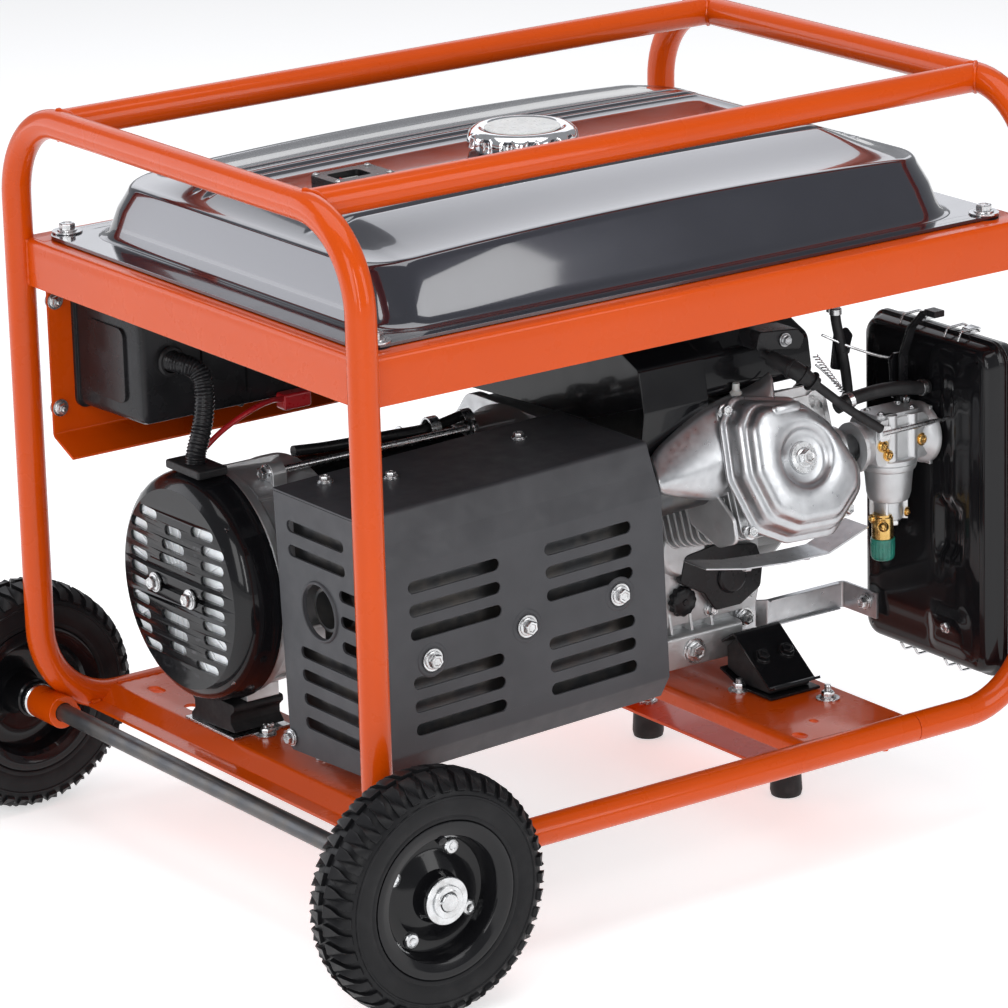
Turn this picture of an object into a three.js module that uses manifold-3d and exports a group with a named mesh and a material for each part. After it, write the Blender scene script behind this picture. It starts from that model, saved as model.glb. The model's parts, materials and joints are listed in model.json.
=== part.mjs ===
// Open-frame portable generator: tube frame, fuel tank, single-cylinder engine, alternator,
// muffler with guard, air filter, control panel and a two-wheel transport kit.
// Millimetres, +Z up. +X runs from the wheels and alternator end to the recoil and air filter end.
// -Y is the muffler and cylinder head side, +Y is the control panel side.
import * as THREE from 'three';
import { mergeVertices } from 'three/addons/utils/BufferGeometryUtils.js';
import Module from 'manifold-3d';

const wasm = await Module();
wasm.setup();

// ---------------------------------------------------------------- driving dimensions
const gap = 0.3;                       // clearance between neighbouring solids
const tube = { radius: 12.5, wall: 1.6, bend: 75 };
const frame = { halfLength: 340, halfWidth: 258, height: 531, joint: 206 };
const rail = { y: frame.halfWidth - tube.bend + 1 };
const belt = { bottom: 382, top: 422.6, flange: 32, sheet: 3 };
const wheel = { radius: 102, halfWidth: 28.5, x: -331, y: 311, axleRadius: 8, axleEnd: 343 };
const ground = -wheel.radius;          // floor height below the bottom rails' centrelines
const crank = { y: 92, z: 142 };       // the engine and alternator share this axis
const bank = { x: 150, angle: 18.2 * Math.PI / 180 };  // cylinder leans towards -Y, this far above level
const engineEnd = { rear: -19.7, body: 45, front: 205 };
const alternator = { face: -305, shell: 100, bracketStart: -261.7, statorStart: -181.7, statorEnd: -20 };
const tank = {
  foot: [592, 436], flange: [654, 480], wall: 1.6, bevel: 20, corner: 45,
  seat: 423, crease: 474, crownSlope: 60, crownRise: 18,
};
const guard = { x: [-275, 17], tilt: 2 * Math.PI / 180, sheet: 2 };
const airBox = { x: [300, 322, 345], y: [-243, -70], z: [14, 311], corner: 18, wall: 2.5 };
const intake = { y: -160, z: 222 };    // centreline of the carburettor's throat
const deck = { x: 194, half: 24, footY: 100, drop: -70 };   // dropped bracket that carries the rubber feet
const panel = { x: [-308, -14], z: [266, 377], back: 242.8, front: 246.8 };
const box = { x: [-304, -20], y: [137, 239.7], z: [269, 374], wall: 2.5 };
const tubeSides = 12;

// ---------------------------------------------------------------- materials
function finish(color, roughness, metalness) {
  return new THREE.MeshStandardMaterial({ color, roughness, metalness });
}

const orangePaint = () => finish(0xe0561a, 0.35, 0.1);
const tankPaint = () => finish(0x26262d, 0.12, 0.3);
const blackPaint = () => finish(0x141416, 0.25, 0.2);
const guardPaint = () => finish(0x47484d, 0.6, 0.3);
const castAluminium = () => finish(0xb9bbbd, 0.45, 0.9);
const zincSteel = () => finish(0xc9ccd0, 0.3, 1.0);
const darkSteel = () => finish(0x4a4c50, 0.4, 0.9);
const rubber = () => finish(0x1d1d20, 0.85, 0.0);
const blackPlastic = () => finish(0x17171a, 0.45, 0.0);
const chrome = () => finish(0xd8dadd, 0.12, 1.0);
const copper = () => finish(0x9a5a32, 0.4, 0.9);
const paper = () => finish(0xd9c9a0, 0.9, 0.0);
const redPlastic = () => finish(0xb01822, 0.4, 0.0);

// ---------------------------------------------------------------- solids and booleans
// Closed mesh with shared vertices merged and the flat triangles at a lathe's axis removed.
function closed(geometry) {
  const bare = geometry.clone();
  for (const name of Object.keys(bare.attributes)) if (name !== 'position') bare.deleteAttribute(name);
  const merged = mergeVertices(bare, 1e-3);
  const corners = merged.index.array;
  const kept = [];
  for (let i = 0; i < corners.length; i += 3) {
    const [a, b, c] = [corners[i], corners[i + 1], corners[i + 2]];
    if (a !== b && b !== c && c !== a) kept.push(a, b, c);
  }
  merged.setIndex(kept);
  return merged;
}

function toSolid(geometry) {
  const mesh = closed(geometry);
  const triVerts = new Uint32Array(mesh.index.array);
  const vertProperties = new Float32Array(mesh.attributes.position.array);
  return new wasm.Manifold(new wasm.Mesh({ numProp: 3, vertProperties, triVerts }));
}

function toGeometry(solid) {
  const mesh = solid.getMesh();
  const geometry = new THREE.BufferGeometry();
  geometry.setAttribute('position', new THREE.BufferAttribute(mesh.vertProperties, 3));
  geometry.setIndex(new THREE.BufferAttribute(mesh.triVerts, 1));
  return geometry;
}

const join = (...pieces) => toGeometry(pieces.map(toSolid).reduce((whole, piece) => whole.add(piece)));
const cut = (base, ...tools) =>
  toGeometry(tools.map(toSolid).reduce((rest, tool) => rest.subtract(tool), toSolid(base)));

// ---------------------------------------------------------------- shape builders
const outline = (points) => new THREE.Shape(points.map(([u, v]) => new THREE.Vector2(u, v)));

// Matrices that stand an extrusion (drawn in XY, grown along Z) up along another axis.
const alongX = new THREE.Matrix4().set(0, 0, 1, 0, 1, 0, 0, 0, 0, 1, 0, 0, 0, 0, 0, 1);
const alongY = new THREE.Matrix4().set(1, 0, 0, 0, 0, 0, -1, 0, 0, 1, 0, 0, 0, 0, 0, 1);

// prismX takes (y, z) outlines, prismY takes (x, z) outlines and prismZ takes (x, y) outlines.
function prismZ(shape, from, to) {
  return new THREE.ExtrudeGeometry(shape, { depth: to - from, bevelEnabled: false, curveSegments: 5 })
    .translate(0, 0, from);
}
const prismX = (shape, from, to) => prismZ(shape, from, to).applyMatrix4(alongX);
const prismY = (shape, from, to) => prismZ(shape, -to, -from).applyMatrix4(alongY);

function block([x0, x1], [y0, y1], [z0, z1]) {
  return new THREE.BoxGeometry(x1 - x0, y1 - y0, z1 - z0)
    .translate((x0 + x1) / 2, (y0 + y1) / 2, (z0 + z1) / 2);
}

function roundedRectangle([u0, u1], [v0, v1], r) {
  const shape = new THREE.Shape();
  shape.moveTo(u0 + r, v0).lineTo(u1 - r, v0).absarc(u1 - r, v0 + r, r, -Math.PI / 2, 0);
  shape.lineTo(u1, v1 - r).absarc(u1 - r, v1 - r, r, 0, Math.PI / 2);
  shape.lineTo(u0 + r, v1).absarc(u0 + r, v1 - r, r, Math.PI / 2, Math.PI);
  shape.lineTo(u0, v0 + r).absarc(u0 + r, v0 + r, r, Math.PI, Math.PI * 1.5);
  return shape;
}

// Cylinder between two heights on an axis, centred on the other two coordinates.
function rod(axis, radius, from, to, [a, b], sides = 20) {
  const geometry = new THREE.CylinderGeometry(radius, radius, to - from, sides);
  const middle = (from + to) / 2;
  if (axis === 'x') return geometry.rotateZ(-Math.PI / 2).translate(middle, a, b);
  if (axis === 'y') return geometry.translate(a, middle, b);
  return geometry.rotateX(Math.PI / 2).translate(a, b, middle);
}

// Body of revolution. The profile lists (position along the axis, radius) and closes on itself.
function turned(axis, profile, [a, b], sides = 36) {
  const loop = profile.map(([along, radius]) => new THREE.Vector2(radius, along));
  if (THREE.ShapeUtils.area(loop) < 0) loop.reverse();
  if (profile[0][1] > 0) loop.push(loop[0].clone());
  const geometry = new THREE.LatheGeometry(loop, sides);
  if (axis === 'x') return geometry.rotateZ(-Math.PI / 2).translate(0, a, b);
  if (axis === 'y') return geometry.translate(a, 0, b);
  return geometry.rotateX(Math.PI / 2).translate(a, b, 0);
}

// A path whose sections stand only at chosen stations.
class Route extends THREE.Curve {
  constructor(stations) {
    super();
    this.stations = stations;
  }
  station(u) {
    return this.stations[Math.round(u * (this.stations.length - 1))];
  }
  getPoint(u, target = new THREE.Vector3()) {
    return target.copy(this.station(u).point);
  }
  getPointAt(u, target) {
    return this.getPoint(u, target);
  }
  getTangentAt(u, target = new THREE.Vector3()) {
    return target.copy(this.station(u).tangent);
  }
}

// Route through corner points, each corner rounded as a tube bender would do it.
function bentRoute(points, bendRadius, bendSteps = 4) {
  const corners = points.map((p) => new THREE.Vector3(...p));
  const heading = (i) => corners[i + 1].clone().sub(corners[i]).normalize();
  const stations = [{ point: corners[0], tangent: heading(0) }];
  for (let i = 1; i < corners.length - 1; i++) {
    const before = heading(i - 1);
    const after = heading(i);
    const turn = before.angleTo(after);
    const setback = bendRadius * Math.tan(turn / 2);
    const start = corners[i].clone().addScaledVector(before, -setback);
    const inward = after.clone().addScaledVector(before, -Math.cos(turn)).normalize();
    const centre = start.clone().addScaledVector(inward, bendRadius);
    for (let step = 0; step <= bendSteps; step++) {
      const angle = turn * step / bendSteps;
      const point = centre.clone().addScaledVector(inward, -bendRadius * Math.cos(angle))
        .addScaledVector(before, bendRadius * Math.sin(angle));
      const tangent = before.clone().multiplyScalar(Math.cos(angle))
        .addScaledVector(inward, Math.sin(angle));
      stations.push({ point, tangent });
    }
  }
  stations.push({ point: corners.at(-1), tangent: heading(corners.length - 2) });
  return new Route(stations);
}

function circle(radius, sides) {
  return Array.from({ length: sides }, (_, i) => {
    const angle = 2 * Math.PI * i / sides;
    return [radius * Math.cos(angle), radius * Math.sin(angle)];
  });
}

function pipe(route, radius, innerRadius = 0, sides = tubeSides) {
  const section = outline(circle(radius, sides));
  if (innerRadius > 0) section.holes.push(outline(circle(innerRadius, sides - 4)));
  return new THREE.ExtrudeGeometry(section, { steps: route.stations.length - 1, extrudePath: route });
}

function hose(points, radius, steps, sides = 10) {
  const curve = new THREE.CatmullRomCurve3(points.map((p) => new THREE.Vector3(...p)));
  return new THREE.ExtrudeGeometry(outline(circle(radius, sides)), { steps, extrudePath: curve });
}

// ---------------------------------------------------------------- assembly
const generator = new THREE.Group();
const overall = { left: wheel.x - wheel.radius, right: frame.halfLength + tube.radius };
generator.position.set(-(overall.left + overall.right) / 2, 0, -ground);

function add(name, geometry, material) {
  const mesh = new THREE.Mesh(toGeometry(toSolid(geometry)), material);
  mesh.name = name;
  generator.add(mesh);
}

// Sides of the machine: name and sign of Y.
const sides = [['muffler_side', -1], ['panel_side', 1]];

// ---------------------------------------------------------------- frame
// Each hoop is one bent tube: bottom rail, post, top bar, post and bottom rail.
function hoopRoute(end, railEnd) {
  const { halfLength, halfWidth, height } = frame;
  const x = end * halfLength;
  return bentRoute([
    [railEnd, -halfWidth, 0], [x, -halfWidth, 0], [x, -halfWidth, height],
    [x, halfWidth, height], [x, halfWidth, 0], [railEnd, halfWidth, 0],
  ], tube.bend);
}

const hoopRoutes = { rear: hoopRoute(-1, frame.joint), front: hoopRoute(1, frame.joint + 2 * gap) };
const hoopClearances = Object.values(hoopRoutes).map((route) => pipe(route, tube.radius + 0.5));

function makeFrame() {
  for (const [name, route] of Object.entries(hoopRoutes)) {
    add(`frame_hoop_${name}`, pipe(route, tube.radius, tube.radius - tube.wall), orangePaint());
  }
  for (const [name, side] of sides) {
    const ends = [-1, 1].map((end) => [end * frame.halfLength, side * rail.y, frame.height]);
    const bar = pipe(bentRoute(ends, 1), tube.radius, tube.radius - tube.wall);
    add(`top_rail_${name}`, cut(bar, ...hoopClearances), orangePaint());
  }
  add('tank_belt', makeBelt(), orangePaint());
  add('panel_bracket', makePanelBracket(), orangePaint());
}

// Ring of angle steel at the tubes' centre planes: vertical faces outside, flange inward on top.
function makeBelt() {
  const { bottom, top, flange, sheet } = belt;
  const { halfLength: x, halfWidth: y } = frame;
  const outer = block([-x, x], [-y, y], [bottom, top]);
  const below = block([-x + sheet, x - sheet], [-y + sheet, y - sheet], [bottom - 1, top - sheet]);
  const opening = block([-x + flange, x - flange], [-y + flange, y - flange], [bottom - 1, top + 1]);
  return cut(outer, below, opening, ...hoopClearances);
}

// Upright plate between the panel-side posts with a window for the panel and a folded lower flange.
function makePanelBracket() {
  const plate = block([-326, 96], [240, 242.5], [247, belt.bottom - gap]);
  const window = block([panel.x[0] + 10, panel.x[1] - 10], [230, 250], [panel.z[0] + 8, panel.z[1] - 8]);
  const flange = outline([[242.5, 249.5], [242.5, 247], [212, 233], [211, 235.4], [240, 248.8]]);
  const fold = prismX(flange, -320, 90);
  const lip = cut(fold, block([-325, -308], [200, 226], [220, 250]));
  return cut(join(plate, lip), window);
}

// ---------------------------------------------------------------- base
const plateEnd = frame.halfWidth - tube.radius - gap;

function drill(holes, z0, z1) {
  return holes.map(([x, y, radius]) => rod('z', radius, z0, z1, [x, y], 14));
}

function makeBase() {
  // Pressed plate under the alternator: low flange, ramp, deck and a folded front lip.
  const rear = prismY(outline([
    [-302, -3], [-288, -3], [-275, 9], [-203, 9], [-203, -6], [-200, -6], [-200, 12], [-276, 12],
    [-289, 0], [-302, 0],
  ]), -plateEnd, plateEnd);
  const rearHoles = [-190, -105, 150, 210].flatMap((y) => [[-262, y, 6], [-222, y + 14, 6]]);
  add('crossmember_alternator', cut(rear, ...drill(rearHoles, -10, 20)), orangePaint());

  // Inverted channel under the engine.
  const front = prismY(outline([
    [105, 1.5], [105, -12], [108, -12], [108, -1.5], [219, -1.5], [219, -12], [222, -12], [222, 1.5],
  ]), -plateEnd, plateEnd);
  const frontHoles = [-1, 1].flatMap((side) => [[190, side * 118, 8], [118, side * 216, 8]]);
  add('crossmember_engine', cut(front, ...drill(frontHoles, -10, 10)), orangePaint());

  // Dropped bracket: two top flanges, two legs and the strip that the rubber feet hang from.
  const leg = 128;
  const sheet = 3;
  const reach = leg + 57;
  const top = -1.5 - gap;
  const half = [[reach, top], [leg, top], [leg, deck.drop]];
  const under = [[leg + sheet, deck.drop - sheet], [leg + sheet, top - sheet], [reach, top - sheet]];
  const mirrored = (points) => points.map(([y, z]) => [-y, z]).reverse();
  const bracket = outline([...mirrored(half).reverse(), ...half.slice().reverse(), ...[...under].reverse(),
    ...mirrored(under).reverse()]);
  add('foot_bracket', prismX(bracket, deck.x - deck.half, deck.x + deck.half), orangePaint());
  for (const [name, side] of sides) {
    const footTop = deck.drop - sheet - gap;
    const profile = [[ground, 0], [ground, 13.5], [ground + 6, 14.5], [footTop, 13], [footTop, 0]];
    const foot = turned('z', profile, [deck.x, side * deck.footY], 20);
    add(`rubber_foot_${name}`, foot, rubber());
  }
}

// ---------------------------------------------------------------- wheels
function makeWheels() {
  const centre = [wheel.x, 0];
  add('axle', rod('y', wheel.axleRadius, -wheel.axleEnd, wheel.axleEnd, centre, 20), darkSteel());
  for (const [name, side] of sides) {
    const sleeve = turned('y', [[240, 8.4], [280, 8.4], [280, 14.5], [240, 14.5]]
      .map(([y, r]) => [side * y, r]), centre, 20);
    add(`axle_sleeve_${name}`, cut(sleeve, hoopClearances[0]), orangePaint());
    const toWheel = (profile) => profile.map(([across, radius]) => [side * (wheel.y + across), radius]);
    const tread = [[-21.5, 52.3], [-21.5, 64.6], [-28.5, 67], [-27, 90], [-12, 102]];
    const tyre = [...tread, ...tread.map(([across, radius]) => [-across, radius]).reverse()];
    add(`tyre_${name}`, turned('y', toWheel(tyre), centre, 32), rubber());
    const rim = [[-24, 8.4], [-24, 17], [2, 17], [-9.5, 31], [-9.5, 48.5], [-22, 48.5], [-24.5, 64],
      [-21.8, 64], [-21.8, 52], [21.8, 52], [21.8, 64], [24.5, 64], [22, 48.5], [-6, 48.5], [-6, 33],
      [5.5, 17], [23, 17], [23, 8.4]];
    add(`rim_${name}`, turned('y', toWheel(rim), centre, 24), blackPaint());
  }
}

// ---------------------------------------------------------------- fuel system
// Rounded body: walls lean in from the foot to the crease, and a low crown rises above the crease.
function tankBody(inset) {
  const [length, width] = tank.foot.map((size) => size / 2 - tank.bevel - inset);
  const wallHeight = tank.crease - tank.seat - 2 - inset;
  const walls = new THREE.ExtrudeGeometry(
    roundedRectangle([-length, length], [-width, width], tank.corner - tank.bevel),
    { depth: 2, bevelThickness: wallHeight, bevelSize: tank.bevel, bevelSegments: 1, curveSegments: 3 },
  ).translate(0, 0, tank.seat);
  const [halfX, halfY] = [length, width].map((size) => size - tank.crownSlope);
  const crown = new THREE.ExtrudeGeometry(
    roundedRectangle([-halfX, halfX], [-halfY, halfY], 12),
    {
      depth: 1, bevelThickness: tank.crownRise, bevelSize: tank.crownSlope - 1,
      bevelSegments: 2, curveSegments: 2,
    },
  ).translate(0, 0, tank.crease - inset - 1.5);
  return join(walls, crown);
}

function makeTank() {
  const [length, width] = tank.flange.map((size) => size / 2);
  const flange = prismZ(roundedRectangle([-length, length], [-width, width], 18), tank.seat, tank.seat + 3);
  const collar = rod('z', 38, tank.crease, 498, [0, 0], 28);
  const neck = rod('z', 30, tank.crease - 10, 505, [0, 0], 28);
  const corners = [[-1, -1], [-1, 1], [1, -1], [1, 1]];
  const bolts = drill(corners.map(([x, y]) => [x * 309, y * 230, 4.5]), 400, 450);
  const shell = cut(join(tankBody(0), flange, collar), tankBody(tank.wall), neck, ...bolts);
  add('fuel_tank', shell, tankPaint());
  const cap = [[504, 0], [504, 40.5], [494, 40.5], [494, 47], [497, 49], [506, 49], [511, 44], [511, 0]];
  add('fuel_cap', turned('z', cap, [0, 0], 36), chrome());
}

const cock = { x: 229, y: -130, z: 355 };

function makeFuelLine() {
  const { x, y, z } = cock;
  const tankBottom = tank.seat - (tank.crease - tank.seat - 2) - gap;
  const body = join(
    rod('z', 7, z, tankBottom, [x, y], 14),
    block([x - 11, x + 11], [y - 9, y + 9], [z - 10, z + 9]),
    rod('z', 4, z - 18, z, [x, y], 12),
  );
  add('fuel_cock', body, castAluminium());
  const face = y - 9 - gap;
  const hub = rod('y', 8, face - 5, face, [x, z], 16);
  const lever = join(hub, block([x, x + 30], [face - 5, face - 1], [z - 3, z + 3]));
  add('fuel_cock_lever', lever, redPlastic());
  const run = [[x, y, z - 19], [x + 1, y, 325], [x + 9, y, 290], [x + 13, y, 264], [x + 13, y, 253]];
  add('fuel_hose', hose(run, 4.5, 14, 8), rubber());
}

// ---------------------------------------------------------------- alternator
const crankAxis = [crank.y, crank.z];

function makeAlternator() {
  const { face, shell, bracketStart, statorStart, statorEnd } = alternator;
  const dome = [[face, 0], [face, 82], [face + 5, 92], [face + 17, 99], [bracketStart - gap, shell],
    [bracketStart - gap, shell - 3], [face + 18, 96], [face + 7, 89], [face + 2.5, 80], [face + 2.5, 0]];
  // Cooling slots: two full columns and two short ones above and below the hub.
  const slot = (y, z, half) => block([face - 5, face + 10], [y - half, y + half], [z - 4.2, z + 4.2]);
  const slots = [];
  for (const side of [-1, 1]) {
    for (let row = 0; row < 10; row++) {
      const lift = (row - 4.5) * 13;
      const reach = row === 0 || row === 9 ? 42 : 58;
      slots.push(slot(crank.y + side * reach, crank.z + lift, 14));
    }
    for (let row = 0; row < 3; row++) {
      slots.push(slot(crank.y, crank.z + side * (25 + row * 13), 21 - row * 5));
    }
  }
  add('alternator_end_cover', cut(turned('x', dome, crankAxis), ...slots), blackPaint());

  // Cast bearing bracket with a foot on the rubber mount.
  const bracketEnd = statorStart - gap;
  const ring = [[bracketStart, 96], [bracketEnd, 96], [bracketEnd, 88], [-208, 88], [-208, 15.4],
    [-218, 15.4], [-218, 88], [bracketStart, 88]];
  const foot = cut(block([-258, -226], [58, 126], [41.8, 62]), rod('x', 90, -300, -200, crankAxis, 36));
  add('alternator_bracket', join(turned('x', ring, crankAxis), foot), castAluminium());
  const stator = [[statorStart, 90], [statorEnd, 90], [statorEnd, 62.6], [statorStart, 62.6]];
  add('stator', turned('x', stator, crankAxis), blackPaint());
  const shaftEnd = engineEnd.rear - gap;
  const rotor = [[-245, 0], [-245, 15], [-190, 15], [-190, 60], [-45, 60], [-45, 20], [shaftEnd, 20],
    [shaftEnd, 0]];
  add('rotor', turned('x', rotor, crankAxis, 24), copper());
  const mount = block([-272, -222], [58, 126], [12 + gap, 41.5]);
  add('rubber_mount_alternator', mount, rubber());
}

// ---------------------------------------------------------------- engine
// Local frame of the cylinder: x stays, v is upright to the bore and s runs along it from the crank axis.
const bankMatrix = new THREE.Matrix4().makeBasis(
  new THREE.Vector3(1, 0, 0),
  new THREE.Vector3(0, Math.sin(bank.angle), Math.cos(bank.angle)),
  new THREE.Vector3(0, -Math.cos(bank.angle), Math.sin(bank.angle)),
).setPosition(bank.x, crank.y, crank.z);
const onBank = (geometry) => geometry.applyMatrix4(bankMatrix);
const finHalf = 58;
const barrelHalf = 50;
const square = (half) => [[-half, half], [-half, half]];

function makeCrankcase() {
  const bell = rod('x', 92, engineEnd.rear, engineEnd.body + 5, crankAxis, 32);
  const body = block([engineEnd.body, engineEnd.front], [-45, 190], [28, 236]);
  const feet = [[-62, -40], [186, 212]].map((span) => block([95, 178], span, [22, 50]));
  const fins = Array.from({ length: 9 }, (_, i) => 150 + i * 9.5)
    .map((s) => onBank(block(...square(finHalf), [s, s + 4])));
  const barrel = onBank(block(...square(barrelHalf), [130, 236]));
  const cavity = rod('x', 38, 62, 188, crankAxis, 24);
  const shaftBore = rod('x', 20.5, engineEnd.rear - 1, engineEnd.front + 1, crankAxis, 20);
  const oilHole = rod('y', 6.5, -46, -10, [118, 80], 14);
  const whole = join(bell, body, ...feet, barrel, ...fins);
  add('crankcase', cut(whole, cavity, shaftBore, oilHole), castAluminium());

  const web = (from, to) => [[from, 20], [from, 36], [to, 36], [to, 20]];
  const shaft = [[engineEnd.rear, 0], [engineEnd.rear, 20], ...web(100, 122), ...web(138, 160),
    [214, 20], [214, 0]];
  add('crankshaft', turned('x', shaft, crankAxis, 20), darkSteel());
}

function makeHead() {
  const plates = [236.3, 244, 251.5, 259].map((s) => onBank(block(...square(finHalf), [s, s + 4])));
  const core = onBank(block(...square(barrelHalf), [236.3, 266]));
  add('cylinder_head', join(core, ...plates), castAluminium());
  const edge = [[-44, 62], [-60, 42], [-64, -5], [-49, -50], [-19, -66], [30, -68], [63, -41], [67, -20],
    [42, 27], [15, 50]];
  const scaled = (scale) => outline(edge.map(([x, v]) => [x * scale, v * scale]));
  const flange = prismZ(scaled(1), 266.3, 270);
  const dome = new THREE.ExtrudeGeometry(scaled(0.72),
    { depth: 8, bevelThickness: 9, bevelSize: 7, bevelSegments: 2 }).translate(0, 0, 279);
  add('valve_cover', onBank(join(flange, dome)), zincSteel());
}

function makeShroud() {
  const skin = [[-128, 283], [-122, 318], [-60, 345], [120, 345], [190, 300], [190, 237],
    [-18, 247.6], [-112, 278.5]];
  const inside = [[-125, 262], [-119, 316], [-59, 342.5], [119, 342.5], [187.5, 298.6], [187.5, 225],
    [-18, 225]];
  const wall = 2.5;
  const shell = cut(prismX(outline(skin), 48, engineEnd.front),
    prismX(outline(inside), 48 + wall, engineEnd.front - wall));
  add('engine_shroud', shell, blackPaint());
}

function makeRecoil() {
  const start = engineEnd.front + gap;
  const hand = { y: crank.y - 62, z: crank.z + 62 };
  const cover = [[start, 98], [280, 98], [296, 80], [296, 0], [293, 0], [293, 78.5], [278.5, 95],
    [start, 95]];
  const ropeHole = rod('x', 4, 270, 300, [hand.y, hand.z], 12);
  const hub = rod('x', 9, 284, 294, crankAxis, 16);
  add('recoil_cover', cut(join(turned('x', cover, crankAxis), hub), ropeHole), blackPaint());
  const vane = [[214.3, 0], [214.3, 30], [222, 30], [222, 78], [244, 78], [246, 30], [256, 30], [256, 0]];
  add('flywheel', turned('x', vane, crankAxis, 28), castAluminium());
  const pulley = [[260, 9.5], [260, 50], [264, 50], [266, 46], [272, 46], [274, 50], [278, 50], [278, 9.5]];
  add('recoil_pulley', turned('x', pulley, crankAxis, 28), blackPlastic());
  const gripX = 307;
  const grip = join(
    rod('x', 2.5, 212, 305, [hand.y, hand.z], 8),
    new THREE.CapsuleGeometry(9, 76, 4, 12).rotateZ(Math.PI / 4).rotateY(Math.PI / 2)
      .translate(gripX, hand.y, hand.z),
  );
  add('recoil_handle', grip, blackPlastic());
}

function makeMounts() {
  const near = outline([[-62.5, 16], [-62.5, 44], [-80, 58], [-136, 10], [-136, 1.8], [-92, 1.8]]);
  const far = outline([[212.5, 1.8], [212.5, 44], [226, 54], [243, 34], [243, 1.8]]);
  add('rubber_mount_muffler_side', prismX(near, 150, 204), rubber());
  add('rubber_mount_panel_side', prismX(far, 150, 204), rubber());
}

function makeOilDipstick() {
  const stick = turned('y', [[-14, 0], [-14, 6], [-45.5, 6], [-45.5, 13], [-58, 13], [-60, 11], [-60, 0]],
    [118, 80], 16);
  add('oil_dipstick', stick, blackPlastic());
}

// ---------------------------------------------------------------- exhaust
const outlet = { y: -86, z: 167, hole: 23, pipe: 19, bore: 16 };   // tail pipe behind the guard's round hole
const guardPivot = new THREE.Vector3((guard.x[0] + guard.x[1]) / 2, 0, 150);

function tiltWithMuffler(geometry) {
  return geometry.translate(-guardPivot.x, 0, -guardPivot.z).rotateY(-guard.tilt)
    .translate(guardPivot.x, 0, guardPivot.z);
}

// A slot with round ends, cut through a sheet along X or along Y.
function slotCutter(axis, [from, to], z, depth) {
  const half = 4.6;
  const end = [[0, -half], [3.3, -3.2], [half, 0], [3.3, 3.2], [0, half]];
  const shape = outline([...end.map(([u, v]) => [to - half + u, z + v]),
    ...end.map(([u, v]) => [from + half - u, z - v])]);
  return axis === 'y' ? prismY(shape, ...depth) : prismX(shape, ...depth);
}

function makeExhaust() {
  const skin = [[-26, 260], [-147, 260], [-156, 236], [-165, 217], [-165, 57], [-151, 36], [-149.4, 37.3],
    [-163, 57.7], [-163, 216.5], [-154.3, 235.2], [-145.7, 258], [-26, 258]];
  const front = prismX(outline(skin), ...guard.x);
  const end = [[-26, 258.5], [-146.2, 258.5], [-155, 235.6], [-164, 216.7], [-164, 57.4], [-150, 36.5],
    [-30, 31], [-26, 33]];
  const endPlate = prismX(outline(end), guard.x[0], guard.x[0] + guard.sheet);
  const rows = [198, 178, 158, 116, 96, 76];
  const frontSlots = [[-240, -150], [-104, -16]]
    .flatMap((span) => rows.map((z) => slotCutter('y', span, z, [-170, -160])));
  const outer = [guard.x[0] - 5, guard.x[0] + 6];
  const endSlots = [
    ...[232, 211].map((z) => slotCutter('x', [-127, -44], z, outer)),
    ...[189, 167, 145].map((z) => slotCutter('x', [-146, -116], z, outer)),
    ...[125, 105, 84, 63].map((z) => slotCutter('x', [-146, -53], z, outer)),
  ];
  const hole = rod('x', outlet.hole, ...outer, [outlet.y, outlet.z], 24);
  const sheet = cut(join(front, endPlate), ...frontSlots, ...endSlots, hole);
  add('muffler_guard', tiltWithMuffler(sheet), guardPaint());

  const can = (inset) => new THREE.ExtrudeGeometry(
    roundedRectangle([inset - 145, -52 - inset], [70 + inset, 232 - inset], 34 - inset),
    {
      depth: 230, bevelThickness: 8 - inset, bevelSize: 6, bevelOffset: -6,
      bevelSegments: 1, curveSegments: 3,
    },
  ).applyMatrix4(alongX).translate(-245, 0, 0);
  const tail = rod('x', outlet.pipe, -268, -240, [outlet.y, outlet.z], 20);
  const tailBore = rod('x', outlet.bore, -270, -230, [outlet.y, outlet.z], 20);
  const neck = rod('x', 16, -20, bank.x - finHalf - 1, [-126, 200], 20);
  add('muffler', tiltWithMuffler(cut(join(can(0), tail, neck), can(2), tailBore)), darkSteel());

  const shield = prismY(outline([[22, 250], [50, 206], [78, 206], [78, 276], [60, 284]]), -158, -156);
  add('exhaust_heat_shield', shield, zincSteel());
}

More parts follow.
